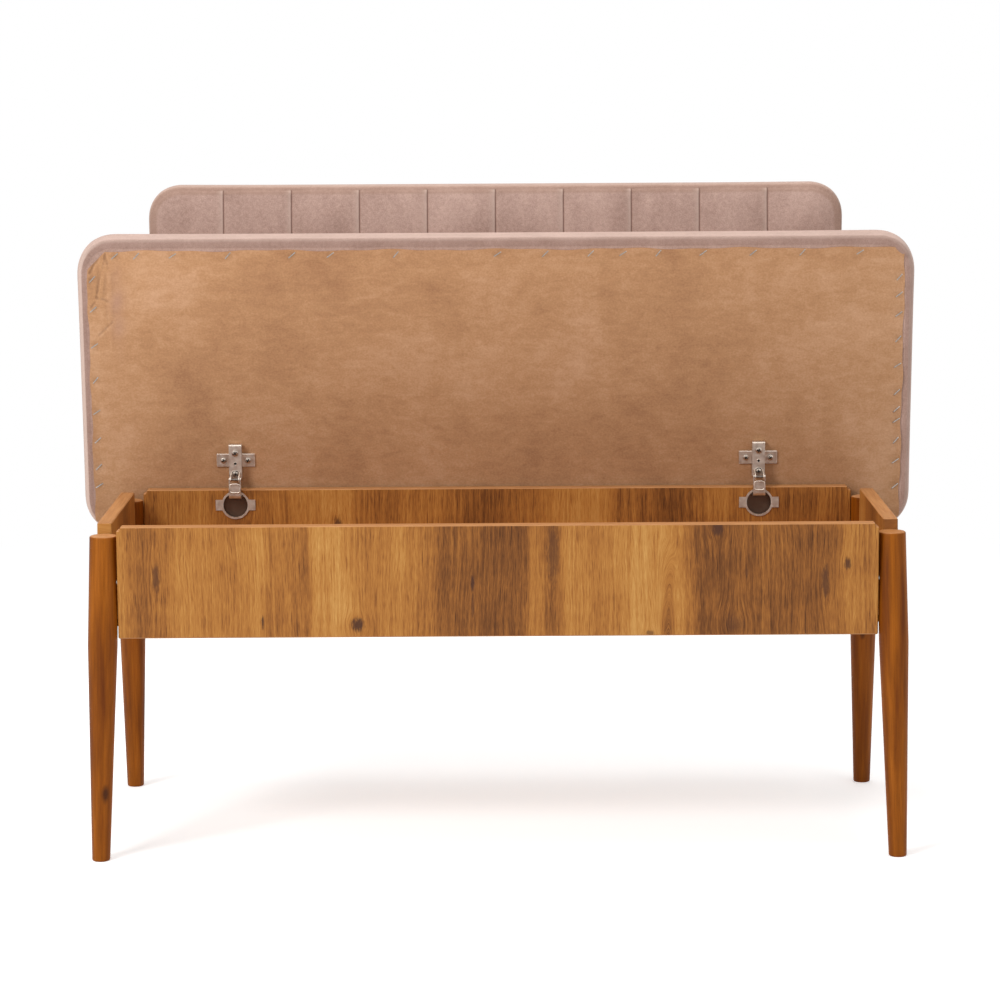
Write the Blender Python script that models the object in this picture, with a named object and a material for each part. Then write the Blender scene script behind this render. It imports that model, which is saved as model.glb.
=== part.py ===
"""Dining bench with a storage box under a hinged padded seat, and a padded backrest behind it.

Metres, +Z up, +X to the right of someone who faces the bench, whose front looks along -Y.
The origin is on the floor, at the centre of the footprint with the seat standing open.
"""

from math import asin, atan2, cos, pi, radians, sin

import bmesh
import bpy
import numpy as np
from mathutils import Matrix, Vector

# General clearance between pieces that touch, and the thickness of the boards
GAP = 0.0003
BOARD = 0.018

# Storage box
BOX_DEPTH = 0.340
LONG_PANEL_LENGTH = 0.930
PANEL_TOP = 0.408
PANEL_HEIGHT = 0.138
EDGE_ROUND = 0.0012
PANEL_CORNER = 0.0045
BASE_BOARD = 0.008
BASE_UP_FROM_EDGE = 0.012
GROOVE_DEPTH = 0.0075
BASE_NOTCH_CLEARANCE = 0.0008

# Turned legs
LEG_TOP = 0.395
LEG_TOP_RADIUS = 0.0172
LEG_WIDEST_RADIUS = 0.0182
LEG_WIDEST_HEIGHT = 0.262
FOOT_RADIUS = 0.0110
LEG_EDGE_ROUND = 0.0018
LEG_SET_BACK = 0.0018
SPLAY_SIDE = 0.006
SPLAY_OUT = 0.0495
LEG_SIDES = 28

# Fasteners of the box: cam bolts in the long panels, dowels in the end panels
CAM_FROM_END = 0.034
CAM_RADIUS = 0.0072
CAM_DEPTH = 0.0125
CAM_BOLT_RADIUS = 0.0030
CAM_BOLT_HEAD_RADIUS = 0.0034
LEG_BOLT_DEPTH = 0.013
DOWEL_RADIUS = 0.0040
DOWEL_IN_PANEL = 0.022
DOWEL_IN_LEG = 0.012

# Seat lid, drawn closed and level in the frame of its pivot
LID_WIDTH = 1.092
LID_FRONT = 0.3415
LID_REAR = 0.0525
LID_CORNER = 0.047
LID_THICKNESS = 0.060
LID_EDGE_HEIGHT = 0.047
LID_OPEN_ANGLE = radians(84.0)
LID_BOARD = 0.015
BACKING = 0.001
BACKING_INSET = 0.0145
COVER_WALL = 0.0055
SIDE_DRAW_IN = 0.0022

# Pivot of the lid, behind the rear panel's inner face and below its top
PIVOT_BEHIND = 0.0095
PIVOT_BELOW = 0.0110
UNDERSIDE_OVER_PIVOT = 0.0143

# Concealed hinges
HINGE_FROM_END = 0.121
CUP_RADIUS = 0.0172
CUP_FROM_TOP = 0.0030
CUP_BORE_DEPTH = 0.0115
CUP_WALL = 0.0012
CUP_FLANGE_RADIUS = 0.0186
CUP_WING_LENGTH = 0.052
CUP_WING_HEIGHT = 0.014
CRANK = 0.0050
ARM_PIN_FRONT = 0.0060
ARM_PIN_ABOVE = 0.0140
PIN_RADIUS = 0.0015
LINK_WIDTH = 0.0158
LINK_SHEET = 0.0014
LINK_HALF_BREADTH = 0.0024
LINK_ELBOW_FRONT = 0.0052
SLOT_TRAVEL = 0.0017
ARM_WIDTH = 0.0165
ARM_SHEET = 0.0015
ARM_FAR = 0.0695
ARM_NEAR = 0.0245
ARM_FAR_HEIGHT = 0.0120
ARM_NEAR_HEIGHT = 0.0140
EAR_RADIUS = 0.0044
PLATE_CENTRE = 0.0465
PLATE_WIDTH = 0.0505
PLATE_BREADTH = 0.0175
PLATE_SHEET = 0.0020
PLATE_BOSS_HEIGHT = 0.0090
PLATE_SCREW_SPACING = 0.032
FIXING_SCREW_AT = 0.0585
ADJUSTING_SCREW_AT = 0.0310

# Backrest
BACKREST_WIDTH = 0.925
BACKREST_BOTTOM = 0.480
BACKREST_TOP = 0.800
BACKREST_FRONT_BEHIND_BOX = 0.082
BACKREST_THICKNESS = 0.052
BACKREST_EDGE_HEIGHT = 0.040
BACKREST_CORNER = 0.043
BACKREST_BOARD = 0.015
SEAM_COUNT = 9
SEAM_PITCH = 0.0905
SEAM_DEPTH = 0.0045

# Bent steel bars that carry the backrest, and their bolts
BRACKET_FROM_END = 0.195
BRACKET_WIDTH = 0.040
BRACKET_SHEET = 0.006
BRACKET_BEND = 0.010
BRACKET_PLATE_TOP = 0.070
BRACKET_RUN_HEIGHT = 0.016
BRACKET_UPRIGHT_TOP = 0.700
BOX_BOLT_UP_FROM_EDGE = 0.048
BOX_BOLT_SPREAD = 0.022
BACK_BOLT_LOW = 0.530
BACK_BOLT_HIGH = 0.665
BOLT_RADIUS = 0.0030
BOLT_HEAD_RADIUS = 0.0065
BOLT_HEAD = 0.0030

# Places worked out from the sizes above, seen from the centre of the box
INNER_REAR = BOX_DEPTH / 2 - BOARD
PANEL_BOTTOM = PANEL_TOP - PANEL_HEIGHT
PANEL_MIDDLE = PANEL_TOP - PANEL_HEIGHT / 2
HINGE_X = LONG_PANEL_LENGTH / 2 - HINGE_FROM_END
BRACKET_X = LONG_PANEL_LENGTH / 2 - BRACKET_FROM_END
LEG_TOP_X = LONG_PANEL_LENGTH / 2 + LEG_TOP_RADIUS + GAP
LEG_TOP_Y = BOX_DEPTH / 2 - LEG_TOP_RADIUS - LEG_SET_BACK
BOX_BOLT_HEIGHT = PANEL_BOTTOM + BOX_BOLT_UP_FROM_EDGE
END_PANEL_X = LEG_TOP_X + SPLAY_SIDE * (LEG_TOP - PANEL_MIDDLE) / LEG_TOP
PIVOT = Vector((0, INNER_REAR + PIVOT_BEHIND, PANEL_TOP - PIVOT_BELOW))
BACKREST_REAR = BOX_DEPTH / 2 + BACKREST_FRONT_BEHIND_BOX + BACKREST_THICKNESS
BRACKET_REAR = BACKREST_REAR + GAP + BRACKET_SHEET
FRONT_REACH = LEG_TOP_Y + SPLAY_OUT + FOOT_RADIUS
REAR_REACH = BRACKET_REAR + GAP + BOLT_HEAD
BOX_CENTRE_Y = (FRONT_REACH - REAR_REACH) / 2


def make_material(name, colour, roughness, metallic=0.0):
    """A Principled material of one colour."""
    material = bpy.data.materials.new(name)
    material.use_nodes = True
    shader = material.node_tree.nodes["Principled BSDF"]
    shader.inputs["Base Color"].default_value = (*colour, 1.0)
    shader.inputs["Roughness"].default_value = roughness
    shader.inputs["Metallic"].default_value = metallic
    return material


def make_empty(name, place, parent=None, turn=0.0):
    """An empty that carries pieces, turned about X."""
    empty = bpy.data.objects.new(name, None)
    bpy.context.scene.collection.objects.link(empty)
    empty.parent = parent
    empty.location = place
    empty.rotation_euler = (turn, 0, 0)
    return empty


def make_piece(name, shape, parent, material, origin=(0, 0, 0), smooth=False):
    """An object from a bmesh drawn in its parent's frame, with its own origin."""
    mesh = bpy.data.meshes.new(name)
    bmesh.ops.translate(shape, verts=shape.verts, vec=-Vector(origin))
    bmesh.ops.recalc_face_normals(shape, faces=shape.faces)
    shape.to_mesh(mesh)
    shape.free()
    piece = bpy.data.objects.new(name, mesh)
    bpy.context.scene.collection.objects.link(piece)
    piece.parent = parent
    piece.location = origin
    if material is not None:
        mesh.materials.append(material)
    if smooth:
        mesh.shade_smooth()
        mesh.set_sharp_from_angle(angle=radians(35))
    return piece


def combine(piece, shape, operation="DIFFERENCE"):
    """Cuts a bmesh, drawn in the parent's frame, from a piece, or joins it to the piece."""
    number = len(piece.modifiers) + 1
    tool = make_piece(f"{piece.name}_tool_{number}", shape, piece.parent, None)
    tool.hide_render = True
    tool.display_type = "WIRE"
    boolean = piece.modifiers.new(f"tool {number}", "BOOLEAN")
    boolean.operation = operation
    boolean.solver = "EXACT"
    boolean.object = tool


def block(low, high, rounding=0.0):
    """A box between two corners, with its edges chamfered if asked."""
    shape = bmesh.new()
    bmesh.ops.create_cube(shape, size=1.0)
    low, high = Vector(low), Vector(high)
    for vertex in shape.verts:
        vertex.co = Vector([low[i] + (vertex.co[i] + 0.5) * (high[i] - low[i]) for i in range(3)])
    if rounding:
        bmesh.ops.bevel(shape, geom=shape.edges[:], offset=rounding, segments=1, affect="EDGES")
    return shape


def turned(profile, start, direction, sides=16):
    """A round piece: (distance along the axis, radius) pairs turned about an axis."""
    shape = bmesh.new()
    turn = Vector(direction).to_track_quat("Z", "Y").to_matrix().to_4x4()
    place = Matrix.Translation(start) @ turn
    rings = []
    for along, radius in profile:
        angles = [2 * pi * (i + 0.5) / sides for i in range(sides)]
        ring = [place @ Vector((radius * cos(a), radius * sin(a), along)) for a in angles]
        rings.append([shape.verts.new(point) for point in ring])
    for lower, upper in zip(rings, rings[1:]):
        for i in range(sides):
            j = (i + 1) % sides
            shape.faces.new((lower[i], lower[j], upper[j], upper[i]))
    shape.faces.new(rings[0])
    shape.faces.new(rings[-1])
    return shape


def rod(start, end, radius, sides=16):
    """A plain round bar between two points."""
    span = Vector(end) - Vector(start)
    return turned([(0, radius), (span.length, radius)], start, span, sides)


def slab(outline, low, high):
    """A flat outline in Y and Z, carried along X from low to high."""
    shape = bmesh.new()
    near = [shape.verts.new((low, y, z)) for y, z in outline]
    far = [shape.verts.new((high, y, z)) for y, z in outline]
    shape.faces.new(near)
    shape.faces.new(far)
    for i in range(len(outline)):
        j = (i + 1) % len(outline)
        shape.faces.new((near[i], near[j], far[j], far[i]))
    return shape


def arc(centre, radius, start, end, steps):
    """Points on an arc in a plane, from one angle to another."""
    angles = [start + (end - start) * i / steps for i in range(steps + 1)]
    return [(centre[0] + radius * cos(a), centre[1] + radius * sin(a)) for a in angles]


def capsule(start, end, radius, steps=6):
    """The outline of a slot with round ends between two points of a plane."""
    along = atan2(end[1] - start[1], end[0] - start[0])
    first = arc(end, radius, along - pi / 2, along + pi / 2, steps)
    return first + arc(start, radius, along + pi / 2, along + 3 * pi / 2, steps)


def corner_fractions(steps=4):
    """How far each point of a quarter circle lies in from its end, as a share of the radius."""
    return [1 - sin(pi / 2 * i / steps) for i in range(steps, -1, -1)]


def padded_form(width, height, corner, thickness, edge, board, seams=(), seam_depth=0.0):
    """A cushion in front of a board, on X and Y with its front towards +Z and its back at zero.

    The front is a grid inside a rounded rectangle, crowned from its sewn edge and drawn down
    along each seam. The wall bulges out from the sewn edge, is drawn in between the corners,
    and runs down past the board, which fills a pocket that is open at the back.
    """
    sewn_inset = 0.007
    half_x, half_y, radius = width / 2 - sewn_inset, height / 2 - sewn_inset, corner - sewn_inset
    bend = [radius * share for share in corner_fractions()]
    columns = [half_x - inset for inset in bend] + [-half_x + inset for inset in bend]
    inner = half_x - radius
    if seams:
        pitch = seams[1] - seams[0]
        for seam in seams:
            columns += [seam + pitch * share for share in (0, 0.18, 0.5, 0.82)]
        columns += [seams[0] - pitch * share for share in (0.18, 0.5, 0.82)]
    else:
        columns += [inner * share for share in (-0.9, -0.72, -0.45, -0.15, 0.15, 0.45, 0.72, 0.9)]
    columns = sorted({round(x, 6) for x in columns})
    shares = (-1.0, -0.94, -0.8, -0.5, 0.0, 0.5, 0.8, 0.94, 1.0)
    crown = thickness - edge

    def reach(x):
        past = max(abs(x) - (half_x - radius), 0.0)
        return half_y - radius + (max(radius**2 - past**2, 0.0)) ** 0.5

    def front(x, y):
        from_edge = min(half_x - abs(x), half_y - abs(y))
        rise = sin(pi / 2 * min(max(from_edge, 0.0) / (0.3 * height), 1.0)) ** 0.7
        dip = 0.0
        for seam in seams:
            near = abs(x - seam) / (0.18 * (seams[1] - seams[0]))
            dip = max(dip, seam_depth * max(0.0, 1 - near))
        return edge + crown * rise - dip * min(1.0, from_edge / (0.05 * height) + 0.25)

    shape = bmesh.new()
    grid = [[(x, share * reach(x)) for share in shares] for x in columns]
    points = [[shape.verts.new((x, y, front(x, y))) for x, y in column] for column in grid]
    for left, right in zip(points, points[1:]):
        for i in range(len(shares) - 1):
            shape.faces.new((left[i], right[i], right[i + 1], left[i + 1]))
    rim = [column[0] for column in points] + points[-1][1:-1]
    rim += [column[-1] for column in reversed(points)] + points[0][-2:0:-1]

    def outward(x, y):
        past_x = x - max(-(half_x - radius), min(half_x - radius, x))
        past_y = y - max(-(half_y - radius), min(half_y - radius, y))
        away = Vector((past_x, past_y))
        return away.normalized()

    def draw_in(x, y, away):
        along_x = (1 - (abs(x) / half_x) ** 4) * abs(away.y)
        along_y = (1 - (abs(y) / half_y) ** 4) * abs(away.x)
        return SIDE_DRAW_IN * max(along_x, along_y)

    rim_spots = [(vertex.co.x, vertex.co.y) for vertex in rim]
    pocket = COVER_WALL
    wall = [
        (0.0015, edge - 0.004, 1),
        (0.0, edge - 0.014, 1),
        (0.0, board + 0.004, 1),
        (0.0008, BACKING + GAP, 0),
        (pocket, BACKING + GAP, 0),
        (pocket, BACKING + 2 * GAP + board, 0),
    ]
    loop = rim
    for inset, level, drawn in wall:
        ring = []
        for x, y in rim_spots:
            away = outward(x, y)
            out = sewn_inset - inset - drawn * draw_in(x, y, away)
            ring.append(shape.verts.new((x + away.x * out, y + away.y * out, level)))
        for i in range(len(ring)):
            j = (i + 1) % len(ring)
            shape.faces.new((loop[i], ring[i], ring[j], loop[j]))
        loop = ring
    shape.faces.new(loop)
    return shape


def rounded_sheet(width, height, corner, low, high):
    """A flat sheet with round corners on X and Y, between two levels."""
    half_x, half_y = width / 2 - corner, height / 2 - corner
    outline = []
    for quarter, (sx, sy) in enumerate(((1, 1), (-1, 1), (-1, -1), (1, -1))):
        centre = (sx * half_x, sy * half_y)
        outline += arc(centre, corner, quarter * pi / 2, (quarter + 1) * pi / 2, 4)
    shape = bmesh.new()
    lower = [shape.verts.new((x, y, low)) for x, y in outline]
    upper = [shape.verts.new((x, y, high)) for x, y in outline]
    shape.faces.new(lower)
    shape.faces.new(upper)
    for i in range(len(outline)):
        j = (i + 1) % len(outline)
        shape.faces.new((lower[i], lower[j], upper[j], upper[i]))
    return shape


def moved(shape, matrix):
    """The same bmesh after a move."""
    bmesh.ops.transform(shape, matrix=matrix, verts=shape.verts)
    return shape


def leg_centre(height):
    """How far the leg's axis lies from the bench's middle, in X and Y, at a height."""
    down = (LEG_TOP - height) / LEG_TOP
    return LEG_TOP_X + SPLAY_SIDE * down, LEG_TOP_Y + SPLAY_OUT * down


def leg_radius(height):
    """The leg's radius: widest at the box's bottom edge, slimmer above and tapered below."""
    if height > LEG_WIDEST_HEIGHT:
        share = (height - LEG_WIDEST_HEIGHT) / (LEG_TOP - LEG_WIDEST_HEIGHT)
        return LEG_WIDEST_RADIUS + (LEG_TOP_RADIUS - LEG_WIDEST_RADIUS) * share
    share = height / LEG_WIDEST_HEIGHT
    return FOOT_RADIUS + (LEG_WIDEST_RADIUS - FOOT_RADIUS) * share


def leg_shape(side, end):
    """Level rings whose centres follow the splay, with the two end edges rounded."""
    shape = bmesh.new()
    levels = [LEG_EDGE_ROUND, LEG_WIDEST_HEIGHT / 2, LEG_WIDEST_HEIGHT - 0.02]
    levels += [LEG_WIDEST_HEIGHT, LEG_WIDEST_HEIGHT + 0.02, LEG_TOP - LEG_EDGE_ROUND]
    rings = [(0.0, leg_radius(0.0) - LEG_EDGE_ROUND * 0.7)]
    rings += [(level, leg_radius(level)) for level in levels]
    rings.append((LEG_TOP, LEG_TOP_RADIUS - LEG_EDGE_ROUND))
    loops = []
    for level, radius in rings:
        x, y = leg_centre(level)
        spots = arc((side * x, end * y), radius, 0, 2 * pi, LEG_SIDES)[:-1]
        loops.append([shape.verts.new((px, py, level)) for px, py in spots])
    for lower, upper in zip(loops, loops[1:]):
        for i in range(LEG_SIDES):
            j = (i + 1) % LEG_SIDES
            shape.faces.new((lower[i], lower[j], upper[j], upper[i]))
    shape.faces.new(loops[0])
    shape.faces.new(loops[-1])
    return shape


def make_legs(frame, beech):
    """Four turned legs, each with its bolt hole and its dowel hole."""
    legs = {}
    for row, end in (("front", -1), ("rear", 1)):
        for hand, side in (("left", -1), ("right", 1)):
            x, y = leg_centre(0.0)
            name = f"{row}_{hand}_leg"
            foot = (side * x, end * y, 0)
            leg = make_piece(name, leg_shape(side, end), frame, beech, foot, smooth=True)
            legs[name] = leg
            bolt_start, bolt_end = cam_bolt_line(side, end)
            combine(leg, rod(bolt_start, bolt_end, CAM_BOLT_RADIUS + GAP))
            dowel_start, dowel_end = dowel_line(side, end, GAP)
            combine(leg, rod(dowel_start, dowel_end, DOWEL_RADIUS + GAP))
    return legs


def cam_bolt_line(side, end):
    """The two ends of a cam bolt, from inside the long panel into the leg."""
    y = end * (BOX_DEPTH / 2 - BOARD / 2)
    panel_end = LONG_PANEL_LENGTH / 2
    start = Vector((side * (panel_end - CAM_FROM_END), y, PANEL_MIDDLE))
    return start, Vector((side * (panel_end + LEG_BOLT_DEPTH), y, PANEL_MIDDLE))


def dowel_line(side, end, longer=0.0):
    """The two ends of a dowel, from inside the end panel into the leg."""
    x = side * END_PANEL_X
    joint = end_panel_reach(PANEL_MIDDLE)
    start = Vector((x, end * (joint - DOWEL_IN_PANEL - longer), PANEL_MIDDLE))
    return start, Vector((x, end * (joint + GAP + DOWEL_IN_LEG + longer), PANEL_MIDDLE))


def end_panel_reach(height):
    """How far an end panel reaches from the middle at a height, to meet the leaning legs."""
    low, high = PANEL_BOTTOM, LEG_TOP
    reach_low = leg_centre(low)[1] - leg_radius(low) - GAP
    reach_high = leg_centre(high)[1] - leg_radius(high) - GAP
    return reach_low + (reach_high - reach_low) * (height - low) / (high - low)


def make_long_panels(frame, laminate):
    """The front and rear panels, with the groove for the base, cam bores and cup bores."""
    panels = {}
    half = LONG_PANEL_LENGTH / 2
    groove_low = PANEL_BOTTOM + BASE_UP_FROM_EDGE - GAP
    groove_high = groove_low + BASE_BOARD + 2 * GAP
    for name, end in (("front_panel", -1), ("rear_panel", 1)):
        inner, outer = end * INNER_REAR, end * BOX_DEPTH / 2
        low = (-half, min(inner, outer), PANEL_BOTTOM)
        high = (half, max(inner, outer), PANEL_TOP)
        origin = (0, (inner + outer) / 2, PANEL_BOTTOM)
        shape = block(low, high)
        tops = [e for e in shape.edges if all(v.co.z > PANEL_MIDDLE for v in e.verts)]
        ends = [e for e in tops if abs(e.verts[0].co.x - e.verts[1].co.x) < GAP]
        bmesh.ops.bevel(shape, geom=ends, offset=PANEL_CORNER, segments=3, affect="EDGES")
        sharp = [e for e in shape.edges if e.calc_face_angle() > radians(60)]
        bmesh.ops.bevel(shape, geom=sharp, offset=EDGE_ROUND, segments=1, affect="EDGES")
        panel = make_piece(name, shape, frame, laminate, origin)
        panels[name] = panel
        deep = inner + end * GROOVE_DEPTH
        past = inner - end * BOARD
        low = (-half - BOARD, min(deep, past), groove_low)
        combine(panel, block(low, (half + BOARD, max(deep, past), groove_high)))
        for side in (-1, 1):
            start, stop = cam_bolt_line(side, end)
            combine(panel, rod(start, stop, CAM_BOLT_HEAD_RADIUS + GAP))
            mouth = Vector((start.x, past, start.z))
            floor = Vector((start.x, inner + end * (CAM_DEPTH + GAP), start.z))
            combine(panel, rod(mouth, floor, CAM_RADIUS + GAP, 24))
    rear = panels["rear_panel"]
    for side in (-1, 1):
        spot = Vector((side * HINGE_X, INNER_REAR - BOARD, cup_height()))
        floor = Vector((spot.x, INNER_REAR + CUP_BORE_DEPTH, spot.z))
        combine(rear, rod(spot, floor, CUP_RADIUS + GAP, 32))
        for spread in (-1, 1):
            x = side * BRACKET_X + spread * BOX_BOLT_SPREAD / 2
            start = (x, INNER_REAR - BOARD, BOX_BOLT_HEIGHT)
            stop = (x, BOX_DEPTH / 2 + BOARD, BOX_BOLT_HEIGHT)
            combine(rear, rod(start, stop, BOLT_RADIUS + GAP))
    return panels


def make_end_panels(frame, laminate):
    """The end panels, with leaning ends that follow the legs."""
    groove_low = PANEL_BOTTOM + BASE_UP_FROM_EDGE - GAP
    groove_high = groove_low + BASE_BOARD + 2 * GAP
    low_reach, high_reach = end_panel_reach(PANEL_BOTTOM), end_panel_reach(PANEL_TOP)
    outline = [
        (-low_reach, PANEL_BOTTOM),
        (low_reach, PANEL_BOTTOM),
        (high_reach, PANEL_TOP),
        (-high_reach, PANEL_TOP),
    ]
    for hand, side in (("left", -1), ("right", 1)):
        x = side * END_PANEL_X
        shape = slab(outline, x - BOARD / 2, x + BOARD / 2)
        bmesh.ops.bevel(shape, geom=shape.edges[:], offset=EDGE_ROUND, segments=1, affect="EDGES")
        panel = make_piece(f"{hand}_end_panel", shape, frame, laminate, (x, 0, PANEL_BOTTOM))
        inner = x - side * BOARD / 2
        deep, past = inner + side * GROOVE_DEPTH, inner - side * BOARD
        low = (min(deep, past), -BOX_DEPTH, groove_low)
        combine(panel, block(low, (max(deep, past), BOX_DEPTH, groove_high)))
        for end in (-1, 1):
            start, stop = dowel_line(side, end, GAP)
            combine(panel, rod(start, stop, DOWEL_RADIUS + GAP))


def make_base(frame, laminate):
    """The storage box's base, held in the panels' grooves and notched round the legs."""
    level = PANEL_BOTTOM + BASE_UP_FROM_EDGE
    long_y = INNER_REAR + GROOVE_DEPTH - GAP
    long_x = END_PANEL_X - BOARD / 2 + GROOVE_DEPTH - GAP
    leg_x, leg_y = leg_centre(level)
    short_x = leg_x - leg_radius(level) - BASE_NOTCH_CLEARANCE
    short_y = leg_y - leg_radius(level) - BASE_NOTCH_CLEARANCE
    quarter = [(long_x, short_y), (short_x, short_y), (short_x, long_y)]
    outline = quarter + [(-x, y) for x, y in reversed(quarter)]
    outline += [(-x, -y) for x, y in quarter] + [(x, -y) for x, y in reversed(quarter)]
    shape = bmesh.new()
    lower = [shape.verts.new((x, y, level)) for x, y in outline]
    upper = [shape.verts.new((x, y, level + BASE_BOARD)) for x, y in outline]
    shape.faces.new(lower)
    shape.faces.new(upper)
    for i in range(len(outline)):
        j = (i + 1) % len(outline)
        shape.faces.new((lower[i], lower[j], upper[j], upper[i]))
    make_piece("base_board", shape, frame, laminate, (0, 0, level))


def make_box_fasteners(frame, steel, zinc, beech):
    """Cam bolts with their cams, and dowels between the end panels and the legs."""
    for row, end in (("front", -1), ("rear", 1)):
        for hand, side in (("left", -1), ("right", 1)):
            start, stop = cam_bolt_line(side, end)
            span = stop - start
            length = span.length - GAP
            profile = [
                (GAP, CAM_BOLT_HEAD_RADIUS),
                (0.003, CAM_BOLT_HEAD_RADIUS),
                (0.0045, CAM_BOLT_RADIUS * 0.7),
                (0.008, CAM_BOLT_RADIUS * 0.7),
                (0.009, CAM_BOLT_RADIUS),
                (length, CAM_BOLT_RADIUS),
            ]
            bolt = turned(profile, start, span)
            make_piece(f"{row}_{hand}_cam_bolt", bolt, frame, steel, start, smooth=True)
            inner = Vector((start.x, end * INNER_REAR, start.z))
            inward = Vector((0, end, 0))
            lip = 0.0006
            shape = turned([(0.0004, CAM_RADIUS - lip), (0.001, CAM_RADIUS), (CAM_DEPTH, CAM_RADIUS)],
                           inner, inward, 24)
            cam = make_piece(f"{row}_{hand}_cam", shape, frame, zinc, inner, smooth=True)
            towards = start - span.normalized() * (CAM_BOLT_HEAD_RADIUS + GAP)
            combine(cam, rod(towards, stop, CAM_BOLT_HEAD_RADIUS + GAP))
            start, stop = dowel_line(side, end)
            rounding = DOWEL_RADIUS * 0.2
            length = (stop - start).length
            profile = [(0, DOWEL_RADIUS - rounding), (rounding, DOWEL_RADIUS)]
            profile += [(length - rounding, DOWEL_RADIUS), (length, DOWEL_RADIUS - rounding)]
            dowel = turned(profile, start, stop - start, 12)
            make_piece(f"{row}_{hand}_dowel", dowel, frame, beech, start, smooth=True)


def lid_middle():
    """The middle of the lid's outline in its pivot's frame, on its underside."""
    return Vector((0, (LID_REAR - LID_FRONT) / 2, UNDERSIDE_OVER_PIVOT))


def plate_screw_spots(side):
    """Where a mounting plate's two screws go, in the lid's frame."""
    return [(side * HINGE_X + s * PLATE_SCREW_SPACING / 2, -PLATE_CENTRE) for s in (-1, 1)]


def make_lid(pivot, velvet, chipboard, kraft):
    """The board, its padded cover and the paper backing stapled under it."""
    depth = LID_FRONT + LID_REAR
    middle = lid_middle()
    place = Matrix.Translation(middle)
    cushion = padded_form(LID_WIDTH, depth, LID_CORNER, LID_THICKNESS, LID_EDGE_HEIGHT, LID_BOARD)
    make_piece("seat_cushion", moved(cushion, place), pivot, velvet, middle, smooth=True)
    inset = COVER_WALL + GAP
    width, height, corner = LID_WIDTH - 2 * inset, depth - 2 * inset, LID_CORNER - inset
    low = BACKING + GAP
    sheet = rounded_sheet(width, height, corner, low, low + LID_BOARD)
    board = make_piece("lid_board", moved(sheet, place), pivot, chipboard, middle)
    inset = BACKING_INSET
    sheet = rounded_sheet(LID_WIDTH - 2 * inset, depth - 2 * inset, LID_CORNER - inset, 0, BACKING)
    backing = make_piece("lid_backing", moved(sheet, place), pivot, kraft, middle)
    for side in (-1, 1):
        for x, y in plate_screw_spots(side):
            start = (x, y, UNDERSIDE_OVER_PIVOT - BACKING)
            stop = (x, y, UNDERSIDE_OVER_PIVOT + screw_reach() + GAP)
            combine(board, rod(start, stop, screw_radius() + GAP, 12))
            combine(backing, rod(start, stop, screw_radius() + GAP, 12))


def screw_radius():
    """Outer radius of a plate screw's thread."""
    return 0.0018


def screw_reach():
    """How deep a plate screw goes above the lid's underside."""
    return 0.0125


def cup_height():
    """Height of the hinge cups' centres."""
    return PANEL_TOP - CUP_FROM_TOP - CUP_RADIUS - GAP


def link_axis():
    """Where the link turns in the cup: towards the middle of the arm pin's sweep."""
    arm_pin = arm_pin_open() - PIVOT
    middle = atan2(arm_pin.z, arm_pin.y) + LID_OPEN_ANGLE / 2
    return PIVOT + Vector((0, CRANK * cos(middle), CRANK * sin(middle)))


def arm_pin_open():
    """Where the arm's pin stands with the seat open."""
    return Vector((0, INNER_REAR - ARM_PIN_FRONT, PANEL_TOP + ARM_PIN_ABOVE))


def in_lid_frame(point):
    """A point given with the seat open, as (Y, Z) in the closed lid's frame."""
    turned_point = Matrix.Rotation(LID_OPEN_ANGLE, 3, "X") @ (point - PIVOT)
    return turned_point.y, turned_point.z


def arm_level(forward):
    """Z of the arm's outer face in the lid's frame, at a distance forward of the pivot."""
    share = (ARM_FAR - forward) / (ARM_FAR - ARM_NEAR)
    drop = ARM_FAR_HEIGHT + (ARM_NEAR_HEIGHT - ARM_FAR_HEIGHT) * share
    return UNDERSIDE_OVER_PIVOT - drop


def slot_outline(centre, radius):
    """The play that the link's pin needs in the arm, which stands in for the second link."""
    lean = radians(122) + LID_OPEN_ANGLE
    end = (centre[0] + SLOT_TRAVEL * cos(lean), centre[1] + SLOT_TRAVEL * sin(lean))
    return capsule(centre, end, radius)


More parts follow.
